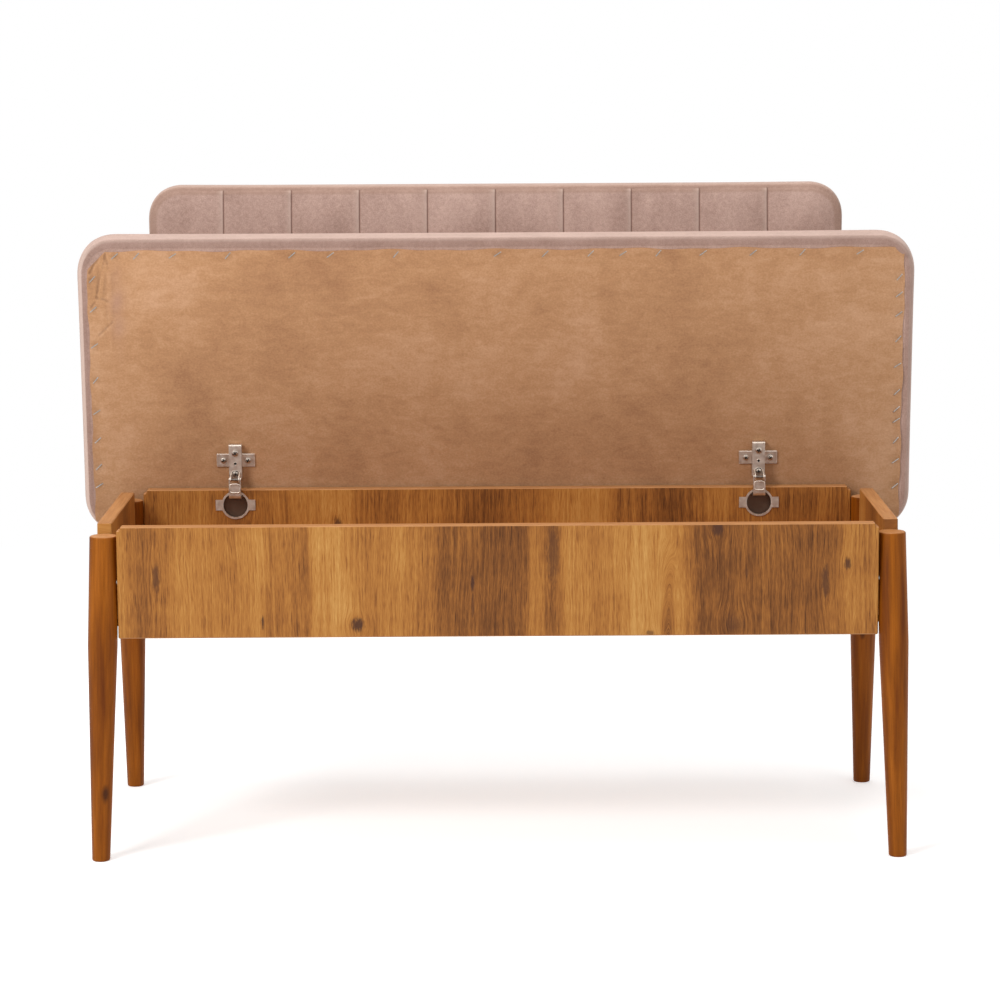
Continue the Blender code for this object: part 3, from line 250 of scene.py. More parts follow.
def laminate(name, kind, middle, turn):
    """Wood-print laminate: a print of upright grain under a matt, finely pored clear film.

    The place across the board is shifted by a slow wander, spread round each knot and raised
    in a ridge for the arched grain; noise that depends mostly on that shifted place then
    draws planks, bands about 14 mm wide, lines about 3 mm and fibres under 1 mm.
    """
    material, node, shader = new_finish(name, 0.5, Specular_IOR_Level=0.25)
    place = node("TexCoord", [], 3)
    place = node("VectorMath SUBTRACT", [place, middle])
    place = node("Mapping", {0: place, "Rotation": (0, 0, turn)})
    split = node("SeparateXYZ", [place]).node.outputs
    x, z = split[0], split[2]
    slow = node("VectorMath MULTIPLY", [place, (1, 1, 0.55)])
    wander = node("TexNoise", {"Vector": slow, "Scale": 9.0, "Detail": 1.0})
    shift = node("MapRange", [wander, 0.0, 1.0, -0.009, 0.009])
    across = node("Math ADD", [x, shift])
    frayed_place = node("VectorMath MULTIPLY", [place, (1, 1, 0.35)])
    frayed = node("TexNoise", {"Vector": frayed_place, "Scale": 480.0, "Detail": 3.0})
    dark = None
    for kx, kz, wide, high, depth in KNOTS[kind]:
        off = node("VectorMath SUBTRACT", [place, (kx, 0, kz)])
        off = node("VectorMath MULTIPLY", [off, (1 / wide, 0, 1 / high)])
        far = node("VectorMath LENGTH", [off], 1)
        near = node("MapRange", [far, 0.0, 3.2, 1.0, 0.0], interpolation_type="SMOOTHERSTEP")
        away = node("SeparateXYZ", [off], 0)
        push = node("Math MULTIPLY", [away, near])
        across = node("Math MULTIPLY_ADD", [push, -0.62 * wide, across])
        ragged = node("MapRange", [frayed, 0.3, 0.7, -0.26, 0.26])
        edge = node("Math ADD", [far, ragged])
        core = node("MapRange", [edge, 0.45, 1.25, depth, 0.0], interpolation_type="SMOOTHSTEP")
        dark = core if dark is None else node("Math MAXIMUM", [dark, core])
    arch_x, arch_wide, arch_rise = ARCHES[kind]
    beside = node("Math SUBTRACT", [x, arch_x])
    beside = node("Math ABSOLUTE", [beside])
    ridge = node("MapRange", [beside, 0.0, arch_wide, 1.0, 0.0], interpolation_type="SMOOTHERSTEP")
    lift = node("MapRange", [z, 0.052, -0.07, 0.0, arch_rise])
    ridge = node("Math MULTIPLY", [ridge, lift])
    across = node("Math ADD", [across, ridge])
    share = node("MapRange", [across, -0.465, 0.465])
    stops = [(p, "#%02X%02X%02X" % ((int(255 * v),) * 3)) for p, v in PLANKS[kind]]
    stops = [stops[0], stops[-1]] + stops[1:-1]
    planks = node("ValToRGB", [share], stops=stops)
    tones = []
    for step, along, scale, detail, seed in (
            (0.11, 0.020, 75.0, 3.0, 2.3), (0.17, 0.030, 340.0, 4.0, 5.1),
            (0.17, 0.06, 1300.0, 3.0, 7.7)):
        up = node("Math MULTIPLY_ADD", [z, along, seed])
        spot = node("CombineXYZ", [across, up, seed])
        noise = node("TexNoise", {"Vector": spot, "Scale": scale, "Detail": detail,
                                  "Roughness": 0.6})
        tones.append((noise, 0.25, 0.75, -step, step))
    # thin darker pores stand in rows along the grain
    pore_up = node("Math MULTIPLY_ADD", [z, 0.045, 3.3])
    pore_spot = node("CombineXYZ", [across, pore_up, 1.7])
    pores = node("TexNoise", {"Vector": pore_spot, "Scale": 620.0, "Detail": 2.0})
    detail_tone = summed(node, *tones, (pores, 0.56, 0.68, 0.0, -0.20))
    grey = node("RGBToBW", [planks])
    cloud = node("TexNoise", {"Vector": place, "Scale": 24.0, "Detail": 3.0})
    cloudy = node("MapRange", [cloud, 0.3, 0.7, -0.06, 0.06])
    # the ramp's grey levels are read back in the print's own scale, from 0 to 1
    level = node("Math POWER", [grey, 0.4545])
    level = node("Math MULTIPLY_ADD", [level, 1.15, -0.03])
    level = node("Math ADD", [level, detail_tone])
    level = node("Math ADD", [level, cloudy])
    print_colour = node("ValToRGB", [level], stops=[(0.0, "#472609"), (1.0, "#CF9B55"),
                                                    (0.22, "#6E4019"), (0.4, "#8F5825"),
                                                    (0.55, "#A86C2F"), (0.72, "#B97E3B")])
    print_colour = node("Mix", {0: dark, 6: print_colour, 7: paint("#4B2B1B")}, **RGBA)
    band_noise_place = node("VectorMath MULTIPLY", [place, (0.05, 1, 1)])
    band_noise = node("TexNoise", {"Vector": band_noise_place, "Scale": 400.0, "Detail": 3.0})
    band_colour = node("ValToRGB", [band_noise], stops=[(0.3, "#AB7242"), (0.75, "#C48C58")])
    normal = node("NewGeometry", [], 1)
    upward = node("SeparateXYZ", [normal], 2)
    upward = node("Math ABSOLUTE", [upward])
    is_edge = node("MapRange", [upward, 0.45, 0.65])
    colour = node("Mix", {0: is_edge, 6: print_colour, 7: band_colour}, **RGBA)
    lay_on(shader, colour, detail_tone, 0.2, 0.0003)
    return material


def dress(names, material):
    """Gives CAD nodes, whose shapes are right, their own finish."""
    for name in names:
        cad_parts[name].material_slots[0].material = material


for name in ("front_panel", "rear_panel", "left_end_panel", "right_end_panel", "base_board"):
    low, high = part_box(name)
    middle = tuple((low + high) / 2)
    kind = "front_panel" if name == "front_panel" else "others"
    turn = {"left_end_panel": pi / 2, "right_end_panel": -pi / 2}.get(name, 0)
    dress([name], laminate(f"wood_print_laminate_of_{name}", kind, middle, turn))

# Fasteners of the box. Zinc-plated cam bolts reach from the legs into the long panels, where
# a cast cam turned from inside grips each one, and fluted beech dowels carry the end panels.
# The cams show as dull grey discs on the panels' inner faces.


def speckled(name, roughness, scale, detail, dark, light, metallic=0.0, rough=None,
             stretch=None, relief=None):
    """A finish of two tones that noise of one scale mixes.

    rough is the range of roughness over the same noise, stretch draws the noise out along a
    direction, and relief is a second pattern with its settings, strength and depth.
    """
    material, node, shader = new_finish(name, roughness, metallic)
    place = node("TexCoord", [], 3)
    if stretch:
        place = node("VectorMath MULTIPLY", [place, stretch])
    noise = node("TexNoise", {"Vector": place, "Scale": scale, "Detail": detail})
    colour = node("ValToRGB", [noise], stops=[(0.3, dark), (0.7, light)])
    if rough:
        rough = node("MapRange", [noise, 0.3, 0.7, *rough])
    pattern, settings, strength, depth = relief or (None, {}, 0.0, 0.0)
    raised = node(pattern, {"Vector": place, **settings}) if relief else None
    lay_on(shader, colour, raised, strength, depth, rough)
    return material


# Dull zinc: a bluish grey, faintly cloudy metal with grains about 0.5 mm wide.
# Raw compressed beech: pale, dry wood with fine fibres along the dowel.
zinc = speckled("dull_zinc_plating", 0.5, 260.0, 4.0, "#8E8C88", "#B3B1AC", metallic=1.0,
                rough=(0.42, 0.58), relief=("TexVoronoi", {"Scale": 1800.0}, 0.3, 0.0001))
dowel_beech = speckled("raw_compressed_beech", 0.7, 900.0, 3.0, "#C49A6C", "#DDB88A",
                       stretch=(0.05, 1, 1))
corners = [f"{row}_{hand}" for row in ("front", "rear") for hand in ("left", "right")]
dress([f"{corner}_{part}" for corner in corners for part in ("cam", "cam_bolt")], zinc)
dress([f"{corner}_dowel" for corner in corners], dowel_beech)

# Velvet covers. The seat is foam on a chipboard lid under a boxed velvet cover, which is
# pulled round the board's edge and stapled below. The cloth is a dusty rose polyester velvet
# with a short dense pile: matt, a little lighter at grazing angles and where the pile leans.
SEAT_OPEN = radians(84)
PIVOT = Vector((0, 0.11045, 0.397))
UNDERSIDE_OVER_PIVOT = 0.0143
SEAT_WIDTH, SEAT_FRONT, SEAT_REAR = 1.092, 0.3415, 0.0525
SEAT_CORNER = 0.047
SEAT_THICKNESS, SEAT_EDGE = 0.060, 0.047
POCKET_TOP = 0.015 + 0.0016  # the board's thickness and a little room
BACK_WIDTH, BACK_LOW, BACK_HIGH = 0.925, 0.480, 0.800
BACK_REAR_Y = 0.25295
BACK_CORNER = 0.043
BACK_THICKNESS, BACK_EDGE = 0.052, 0.040
CHANNEL_SEAMS = (np.arange(9) - 4) * 0.0905
CHANNEL_DEPTH = 0.0048
SEWN_INSET = 0.007


def velvet(name, light, dark, along):
    """Short-pile velvet: patches 30 to 60 mm wide where the pile leans, and 1 mm tufts."""
    material, node, shader = new_finish(
        name, 0.92, Specular_IOR_Level=0.12, Sheen_Weight=0.45, Sheen_Roughness=0.4,
        Sheen_Tint=paint("#F2DDD3"))
    place = node("TexCoord", [], 3)
    lean_place = node("VectorMath MULTIPLY", [place, along])
    lean = node("TexNoise", {"Vector": lean_place, "Scale": 22.0, "Detail": 4.0, "Roughness": 0.55,
                             "Distortion": 0.4})
    tufts = node("TexNoise", {"Vector": place, "Scale": 700.0, "Detail": 2.0})
    rows = node("TexNoise", {"Vector": place, "Scale": 210.0, "Detail": 3.0})
    tone = summed(node, (lean, 0.3, 0.7, 0.0, 0.40), (tufts, 0.3, 0.7, 0.0, 0.36),
                  (rows, 0.3, 0.7, 0.0, 0.24))
    colour = node("ValToRGB", [tone], stops=[(0.1, dark), (0.9, light)])
    # painted shade darkens stitched lines and folds, a painted highlight lies beside the
    # stitches and along the walls, and the sewn border is darker
    for mark, tint in (("border_pile", "#9C7B68"), ("painted_highlight_pile", "#DCC3B6"),
                       ("painted_shade_pile", "#6E4E42")):
        share = node("Attribute", [], 2, attribute_name=mark)
        colour = node("Mix", {0: share, 6: colour, 7: paint(tint)}, **RGBA)
    height = node("Math ADD", [tufts, rows])
    lay_on(shader, colour, height, 0.35, 0.0004)
    return material


def rounded_grid(columns, rows, half_x, half_y, corner):
    """Spreads a grid of places over a rounded rectangle.

    Places in each corner square are moved onto a quarter disc: each keeps its direction from
    the corner's centre, and its distance becomes the larger of its two offsets.
    """
    x, y = np.meshgrid(columns, rows, indexing="ij")
    a = np.abs(x) - (half_x - corner)
    b = np.abs(y) - (half_y - corner)
    inside = (a > 0) & (b > 0)
    a, b = np.where(inside, a, 0), np.where(inside, b, 0)
    length = np.maximum(np.hypot(a, b), 1e-9)
    keep = np.where(inside, np.maximum(a, b) / length, 1)
    x = np.where(inside, np.sign(x) * (half_x - corner + a * keep), x)
    y = np.where(inside, np.sign(y) * (half_y - corner + b * keep), y)
    return x, y


def border(columns, rows):
    """Indices of a grid's border in order, once round."""
    first = [i * rows for i in range(columns)]
    second = [(columns - 1) * rows + j for j in range(1, rows)]
    third = [i * rows + rows - 1 for i in range(columns - 2, -1, -1)]
    fourth = list(range(rows - 2, 0, -1))
    return np.array(first + second + third + fourth)


def even(low, high, step, corner):
    """Places along one side: evenly spaced, closer together inside the corners."""
    bend = corner * (1 - np.cos(np.linspace(0, pi / 2, 9)))
    middle = np.linspace(low + corner, high - corner, max(int((high - low) / step), 2))
    return np.unique(np.round(np.concatenate([low + bend, middle, high - bend]), 6))


def padded_cover(width, height, corner, thickness, edge, seams=(), step=0.0100):
    """A cushion's cover as a closed shell, lying on X and Y with its board's back at zero.

    The front is a grid over a rounded rectangle, raised by a crown that climbs over the first
    third of its width and, between sewn channels, by a low arch. Rings then follow its border:
    a sewn edge, a wall drawn in between the corners, a rounded turn below, a lip pulled in
    over the board's back, and a pocket that holds the board.
    """
    half_x, half_y = width / 2 - SEWN_INSET, height / 2 - SEWN_INSET
    radius = corner - SEWN_INSET
    columns = even(-half_x, half_x, step, radius)
    if len(seams):
        pitch = seams[1] - seams[0]
        marks = np.concatenate([[-half_x], seams, [half_x]])
        columns = [columns[np.abs(columns) > half_x - radius - 1e-6]]
        shares = np.concatenate([[0, 0.016, 0.042], np.linspace(0.1, 0.9, 7), [0.958, 0.984, 1]])
        for low, high in zip(marks[:-1], marks[1:]):
            columns.append(low + (high - low) * shares)
        columns = np.unique(np.round(np.concatenate(columns), 6))
        keep = np.concatenate([[True], np.diff(columns) > 0.0006])
        columns = columns[keep]
    rows = even(-half_y, half_y, step, radius)
    x, y = rounded_grid(columns, rows, half_x, half_y, radius)
    over_x, over_y = np.abs(x) - (half_x - radius), np.abs(y) - (half_y - radius)
    in_corner = (over_x > 0) & (over_y > 0)
    depth_in = np.where(in_corner, radius - np.hypot(over_x, over_y),
                        np.minimum(half_x - np.abs(x), half_y - np.abs(y)))
    climb = np.sin(pi / 2 * np.clip(depth_in / (0.3 * height), 0, 1)) ** 0.7
    level = edge + (thickness - edge) * climb
    on_seam = np.zeros(x.shape, bool)
    if len(seams):
        gap = np.abs(x[..., None] - seams).min(-1)
        on_seam = gap < 0.0004
        arch = np.sin(pi * np.clip(gap / pitch, 0, 0.5)) ** 0.45
        level = level - CHANNEL_DEPTH * (1 - arch) * np.clip(depth_in / 0.012, 0.2, 1)
    front = np.stack([x, y, level], -1).reshape(-1, 3)
    rim = border(len(columns), len(rows))
    edge_xy = front[rim, :2]
    past = edge_xy - np.clip(edge_xy, [-(half_x - radius), -(half_y - radius)],
                             [half_x - radius, half_y - radius])
    away = past / np.maximum(np.linalg.norm(past, axis=1, keepdims=True), 1e-9)
    bow_x = (1 - (edge_xy[:, 0] / half_x) ** 4) * np.abs(away[:, 1])
    bow_y = (1 - (edge_xy[:, 1] / half_y) ** 4) * np.abs(away[:, 0])
    bow = 0.0012 * np.maximum(bow_x, bow_y)
    turn = np.arctan2(away[:, 1], away[:, 0])
    corner_share = (2 * np.minimum(np.abs(away[:, 0]), np.abs(away[:, 1])) / 1.4142) ** 0.5
    pleat = corner_share * (1 - 2 * np.abs(np.sin(turn * 5 + 0.6)) ** 0.35)
    run = np.cumsum(np.linalg.norm(edge_xy - np.roll(edge_xy, 1, 0), axis=1))
    pull = 0.5 * np.sin(run * 61) + 0.3 * np.sin(run * 143 + 1.1) + 0.2 * np.sin(run * 217 + 4)
    # rings outside the grid: inset from the outline, level, share of the wall's bow, pleats
    outline = [(0.0052, edge - 0.0008, 0.3, 0), (0.0020, edge - 0.0014, 0.6, 0),
               (-.0004, edge - 0.0050, 1, 0), (-.0014, edge - 0.0120, 1, 0),
               (-.0014, edge - 0.0200, 1, 0), (-.0010, edge - 0.0270, 1, 0),
               (-.0003, 0.0125, 0.8, 0), (0.0000, 0.0075, 0.3, 0),
               (0.0002, 0.0036, 0.1, 0.1), (0.0008, 0.0016, 0, 0.4),
               (0.0026, 0.0006, 0, 0.9), (0.0055, 0.0003, 0, 1), (0.0088, 0.0003, 0, 1),
               (0.0118, 0.0004, 0, 0.8), (0.0132, 0.00085, 0, 0.2), (0.0142, 0.00108, 0, 0),
               (0.0330, 0.00112, 0, 0), (0.0330, 0.00126, 0, 0), (0.0062, 0.00126, 0, 0),
               (0.0055, 0.0014, 0, 0), (0.0055, POCKET_TOP, 0, 0)]
    rings = []
    softer = {7: 0.0010, 8: 0.0026, 9: 0.0040, 10: 0.0040, 11: 0.0020}
    for k, (inset, height_here, bowed, folded) in enumerate(outline):
        out = SEWN_INSET - inset - bowed * bow - softer.get(k, 0) * away[:, 0] ** 2
        ring = edge_xy + away * out[:, None]
        lift = folded * (0.00075 * pleat + 0.00018 * pull)
        rings.append(np.column_stack([ring, np.full(len(ring), height_here) + lift]))
    count = len(rim)
    points = np.concatenate([front] + rings)
    faces = grid_faces(len(columns), len(rows))
    start = len(front)
    first = np.arange(count)
    after = np.roll(first, -1)
    faces += np.column_stack([rim, start + first, start + after, rim[after]]).tolist()
    faces += grid_faces(len(outline), count, wrap=True, start=start)
    # the pocket's ceiling repeats the front's grid, just above the board
    last, roof = start + (len(outline) - 1) * count, len(points)
    ceiling = np.column_stack([front[:, :2], np.full(len(front), POCKET_TOP)])
    points = np.concatenate([points, ceiling])
    faces += np.column_stack([last + first, roof + rim, roof + rim[after], last + after]).tolist()
    faces += [[roof + i for i in quad[::-1]] for quad in grid_faces(len(columns), len(rows))]
    held = np.ones(len(points))
    free = np.clip((depth_in - 0.001) / 0.010, 0, 1)
    free = np.where(on_seam, 0, free)
    held[:len(front)] = 1 - free.ravel()
    held[start + 2 * count:start + 6 * count] = 0.25
    # fields for the pile: painted shade in the stitched lines and folds, a painted highlight
    # beside them and on the walls, and the darker sewn border
    painted_shade, raised, border_darkening = np.zeros((3, len(points)))
    if len(seams):
        near = (x[..., None] - seams)
        near = np.take_along_axis(near, np.abs(near).argmin(-1)[..., None], -1)[..., 0]
        # painted shade in each stitched line, and a painted highlight just to the left of it
        painted_shade[:len(front)] = np.where(on_seam, 0.8, 0).ravel()
        raised[:len(front)] = (0.75 * np.exp(-((near + 0.0022) / 0.0016) ** 2)).ravel()
        # the sewn border and the wall below it are darker
        border_darkening[:len(front)] = (0.45 * np.clip(1 - (depth_in - 0.003) / 0.002, 0, 1)).ravel()
        border_darkening[start:start + 6 * count] = 0.45
    # painted shade in the folded rings and their pleats, a painted highlight along the wall and
    # turn
    for k, fold in enumerate(f for *_, f in outline):
        here = slice(start + k * count, start + (k + 1) * count)
        painted_shade[here] = 0.26 * (fold > 0.3) + 0.4 * (fold > 0.8) * np.clip(pleat * 1.6 - 0.5, 0, 1)
        raised[here] = 0.30 * (1 < k < 11)
        # a stronger painted highlight where the key lamp on the left catches the turn
        if 8 <= k < 11:
            lit_from_left = np.clip(-away[:, 0], 0, 1) ** 2
            raised[here] += 0.45 * lit_from_left
            painted_shade[here] *= 1 - lit_from_left
    fields = dict(painted_shade_pile=painted_shade, painted_highlight_pile=raised, border_pile=border_darkening)
    return points, faces, held, dict(seam=on_seam.ravel(), count=count, start=start,
                                     fields=fields)


def plump(piece, held, most=0.006, pressure=4.0):
    """Inflates a cover by a cloth simulation, then limits how far any point has moved."""
    group = piece.vertex_groups.new(name="held")
    for weight in np.unique(np.round(held, 2)):
        group.add(np.flatnonzero(np.abs(held - weight) < 0.006).tolist(), float(weight), "REPLACE")
    before = np.empty(len(piece.data.vertices) * 3)
    piece.data.vertices.foreach_get("co", before)
    cloth = piece.modifiers.new("inflation", "CLOTH")
    for key, value in dict(
            use_pressure=True, uniform_pressure_force=pressure, vertex_group_mass="held",
            pin_stiffness=5, tension_stiffness=25, compression_stiffness=12,
            bending_stiffness=0.8, quality=4).items():
        setattr(cloth.settings, key, value)
    cloth.settings.effector_weights.gravity = 0
    cloth.collision_settings.use_collision = False
    scene = bpy.context.scene
    for step in range(1, 21):
        scene.frame_set(step)
    shown = piece.evaluated_get(bpy.context.evaluated_depsgraph_get())
    after = np.empty_like(before)
    shown.data.vertices.foreach_get("co", after)
    piece.modifiers.remove(cloth)
    piece.vertex_groups.clear()
    scene.frame_set(1)
    move = (after - before).reshape(-1, 3)
    far = np.linalg.norm(move, axis=1, keepdims=True)
    move *= np.minimum(1, most / np.maximum(far, 1e-9)) * (1 - held[:, None])
    piece.data.vertices.foreach_set("co", before + move.ravel())
    piece.data.update()


def smooth_once(piece, creased):
    """One level of subdivision, with the given loops of points kept as sharp folds."""
    mesh = piece.data
    crease = mesh.attributes.new("crease_edge", "FLOAT", "EDGE")
    ends = np.empty(len(mesh.edges) * 2, int)
    mesh.edges.foreach_get("vertices", ends)
    marks = np.zeros(len(mesh.vertices))
    for value, chosen in creased:
        marks[chosen] = value
    ends = ends.reshape(-1, 2)
    crease.data.foreach_set("value", np.minimum(marks[ends[:, 0]], marks[ends[:, 1]]))
    finer = piece.modifiers.new("finer", "SUBSURF")
    finer.levels = finer.render_levels = 1


def ring(parts, k):
    """Indices of the points of ring k of a cover."""
    return np.arange(parts["count"]) + parts["start"] + k * parts["count"]


def on_seat(a, u, w):
    """A place on the open seat: a across, u up from the pivot, w in from its underside."""
    middle = np.array(PIVOT)
    lean = pi / 2 - SEAT_OPEN
    across, out = np.asarray(a, float), UNDERSIDE_OVER_PIVOT + np.asarray(w, float)
    u = np.asarray(u, float)
    return np.stack(np.broadcast_arrays(
        middle[0] + across, middle[1] - u * sin(lean) + out * cos(lean),
        middle[2] + u * cos(lean) + out * sin(lean)), -1)


rose = velvet("dusty_rose_velvet", "#CDADA0", "#A98A7D", (1, 1, 1))
points, faces, held, parts = padded_cover(
    SEAT_WIDTH, SEAT_FRONT + SEAT_REAR, SEAT_CORNER, SEAT_THICKNESS, SEAT_EDGE)
seat_points = on_seat(points[:, 0], points[:, 1] + (SEAT_FRONT - SEAT_REAR) / 2, points[:, 2])
seat = put_mesh("seat_velvet_cover", seat_points, faces, rose, "lid", sharp=50,
                fields=parts["fields"])
plump(seat, held)
smooth_once(seat, [(0.9, ring(parts, 0)), (0.6, ring(parts, 15))]
            + [(1.0, ring(parts, k)) for k in range(16, 21)])
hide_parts("seat_cushion")

# Backing of the seat. A sheet of brown kraft paperboard, about 1 mm thick, hides the cover's
# turned-in edge. It is cut by hand, so its edges wander, its upper left corner is folded
# over, and it lies in shallow waves, pulled down wherever a staple holds it.
BACKING_INSET = 0.0145
STAPLES_TOP = [-.495, -.467, -.420, -.348, -.265, -.215, -.130, .002, .064, .123, .165, .211,
               .269, .334, .398, .473]
STAPLES_LEFT = [.289, .249, .201, .155, .112, .074, .038, .013]
STAPLES_RIGHT = [.286, .263, .237, .204, .169, .133, .110, .095, .068, .040, .006]
STAPLES_BOTTOM = [-.481, -.425, -.327, -.260, -.185, -.100, -.022, .067, .138, .206, .281,
                  .324, .417, .484]

# Kraft paperboard: pale brown and nearly matt, cloudy in patches of about 100 mm, with short
# fibres that lie along the sheet.
kraft, node, shader = new_finish("kraft_paperboard", 0.72, Specular_IOR_Level=0.3)
place = node("TexCoord", [], 3)
cloud_place = node("VectorMath MULTIPLY", [place, (1.0, 1, 0.8)])
clouds = node("TexNoise", {"Vector": cloud_place, "Scale": 7.0, "Detail": 5.0, "Roughness": 0.6,
                           "Distortion": 0.6})
pulp = node("TexNoise", {"Vector": place, "Scale": 420.0, "Detail": 3.0})
blot_place = node("VectorMath MULTIPLY", [place, (0.55, 1, 1.2)])
blots = node("TexNoise", {"Vector": blot_place, "Scale": 75.0, "Detail": 4.0, "Roughness": 0.65,
                          "Distortion": 0.5})
threads = node("VectorMath MULTIPLY", [place, (0.18, 1, 1)])
fibres = node("TexNoise", {"Vector": threads, "Scale": 1500.0, "Detail": 2.0})
tone = summed(node, (clouds, 0.25, 0.75, 0.0, 0.6), (blots, 0.3, 0.7, -0.16, 0.16),
              (pulp, 0.3, 0.7, 0.0, 0.25), (fibres, 0.3, 0.7, 0.0, 0.15))
kraft_colour = node("ValToRGB", [tone], stops=[(0.1, "#AA7B57"), (0.9, "#D2A480"),
                                               (0.5, "#C09067")])
high = node("SeparateXYZ", [place], 2)
# painted light: lighter towards the upper edge, away from the box, and towards the left
brightening = node("MapRange", [high, 0.40, 0.74, 0.84, 1.04])
sideways = node("SeparateXYZ", [place], 0)
painted_left_light = node("MapRange", [sideways, -0.54, 0.54, 1.05, 0.95])
brightening = node("Math MULTIPLY", [brightening, painted_left_light])
kraft_colour = node("Mix", {0: 1.0, 6: kraft_colour, 7: brightening}, **RGBA, blend_type="MULTIPLY")
# the mauve patch and the painted shade of the creases and pinches are mixed into the sheet
for mark, most, tint in (("sheet_mauve_patch", 0.45, "#B48C80"), ("sheet_painted_shade", 0.5, "#7C5A41")):
    share = node("Attribute", [], 2, attribute_name=mark)
    share = node("Math MULTIPLY", [share, most])
    kraft_colour = node("Mix", {0: share, 6: kraft_colour, 7: paint(tint)}, **RGBA)
relief = node("Math ADD", [pulp, fibres])
lay_on(shader, kraft_colour, relief, 0.25, 0.0003)

half_a = SEAT_WIDTH / 2 - BACKING_INSET
half_u = (SEAT_FRONT + SEAT_REAR) / 2 - BACKING_INSET
mid_u = (SEAT_FRONT - SEAT_REAR) / 2
spots = [(x, mid_u + half_u - 0.0078) for x in STAPLES_TOP]
spots += [(-half_a + 0.0065, u) for u in STAPLES_LEFT]
spots += [(half_a - 0.0065, u) for u in STAPLES_RIGHT]
spots += [(x, mid_u - half_u + 0.0080) for x in STAPLES_BOTTOM]
spots = np.array(spots)
HINGE_ACROSS = 0.344  # each hinge's distance from the seat's middle
# Creases of the upper left corner: both ends, across and down from the corner, and strength
CREASES = [((0.024, 0.004), (0.011, 0.062), 1.0), ((0.011, 0.062), (0.029, 0.068), 0.6),
           ((0.028, 0.020), (0.029, 0.088), -0.5), ((0.004, 0.075), (0.012, 0.064), 0.8),
           ((0.013, 0.112), (0.031, 0.095), 0.6), ((0.019, 0.003), (0.003, 0.030), 1.0),
           ((0.024, 0.004), (0.028, 0.024), 0.9), ((0.012, 0.020), (0.007, 0.046), -0.8),
           ((0.020, 0.012), (0.016, 0.060), -0.9)]


def crumples(a, u):
    """Relief of the crumpled corner, in shares: valleys along the creases, ridges beside them."""
    across, down = a + half_a, mid_u + half_u - u
    relief = np.zeros(np.broadcast(a, u).shape)
    for (a0, u0), (a1, u1), strength in CREASES:
        da, du = a1 - a0, u1 - u0
        share = ((across - a0) * da + (down - u0) * du) / (da ** 2 + du ** 2)
        share = np.clip(share, 0, 1)
        off = np.hypot(across - a0 - share * da, down - u0 - share * du)
        relief += strength * (0.5 * np.exp(-((off - 0.0042) / 0.0022) ** 2)
                              - np.exp(-(off / 0.0016) ** 2))
    return relief


def sheet_height(a, u):
    """How far the backing stands out from the board's underside at each place.

    Slow waves of 60 to 200 mm, ripples along the edges, a pinch at every staple, the fold
    line beside the upper left corner, and nothing at all under the hinge plates.
    """
    away = np.minimum(half_a - np.abs(a), half_u - np.abs(u - mid_u))
    waves = 0.5 * np.sin(a * 31 + 2.1 * np.sin(u * 17)) + 0.5 * np.sin(u * 43 + a * 11 + 1.3)
    ripples = np.sin(a * 118 + 3 * np.sin(a * 23) + u * 25)
    near_edge = np.exp(-np.clip(away, 0, 1) / 0.016)
    height = 0.0005 + 0.00035 * waves + 0.0007 * near_edge * (ripples + 1)
    for spot_a, spot_u in spots:
        far = np.hypot(a - spot_a, u - spot_u)
        height = height - (0.0013 * near_edge + 0.0003) * np.exp(-(far / 0.008) ** 2)
    crease_at = -half_a + 0.030 + 0.0015 * np.sin(u * 45)
    crease = (np.exp(-((a - crease_at) / 0.0016) ** 2)
              - 0.6 * np.exp(-((a - crease_at + 0.004) / 0.003) ** 2))
    height = height + (0.0006 * crease * np.clip((u - 0.19) / 0.02, 0, 1)
                       * np.clip((0.325 - u) / 0.01, 0, 1))
    height = height + 0.0007 * crumples(a, u)
    inside_plates = np.zeros(height.shape)
    for hinge in (-HINGE_ACROSS, HINGE_ACROSS):
        inside = (np.clip((0.036 - np.abs(a - hinge)) / 0.008, 0, 1)
                  * np.clip((0.085 - u) / 0.01, 0, 1))
        height = height * (1 - inside)
        inside_plates = np.maximum(inside_plates, inside)
    # it stays thin wherever the closed seat lies on the front and end panels
    over_front = np.clip((u - 0.230) / 0.076, 0, 1) ** 2
    over_ends = np.clip((np.abs(a) - 0.420) / 0.046, 0, 1) ** 2
    at_ends = np.clip(0.0026 - 0.0089 * u, 0.00012, 0.0022)
    most = 0.0022 - np.maximum(0.00208 * over_front, (0.0022 - at_ends) * over_ends)
    return np.clip(height - np.clip(0.0009 - most, 0, None) * (inside_plates < 1), -0.0006, most)


columns, rows = even(-half_a, half_a, 0.0042, 0.006), even(-half_u, half_u, 0.0042, 0.006)
# finer where the corner is crumpled
columns = np.union1d(columns[(columns < -half_a + 0.001) | (columns > -half_a + 0.044)],
                     np.arange(-half_a + 0.0013, -half_a + 0.0435, 0.0013))
rows = np.union1d(rows[(rows > half_u - 0.001) | (rows < half_u - 0.124)],
                  np.arange(half_u - 0.1235, half_u - 0.0013, 0.0013))
x, y = rounded_grid(columns, rows, half_a, half_u, 0.006)
wander = 0.0009 * np.sin(x * 41 + 1) + 0.0006 * np.sin(x * 97 + 2) + 0.0009 * np.sin(y * 73)
share = np.abs(y) / half_u
y = y + np.sign(y) * share ** 4 * wander
wander = 0.0008 * np.sin(y * 60 + 1) + 0.0005 * np.sin(y * 143)
x = x + np.sign(x) * (np.abs(x) / half_a) ** 12 * wander
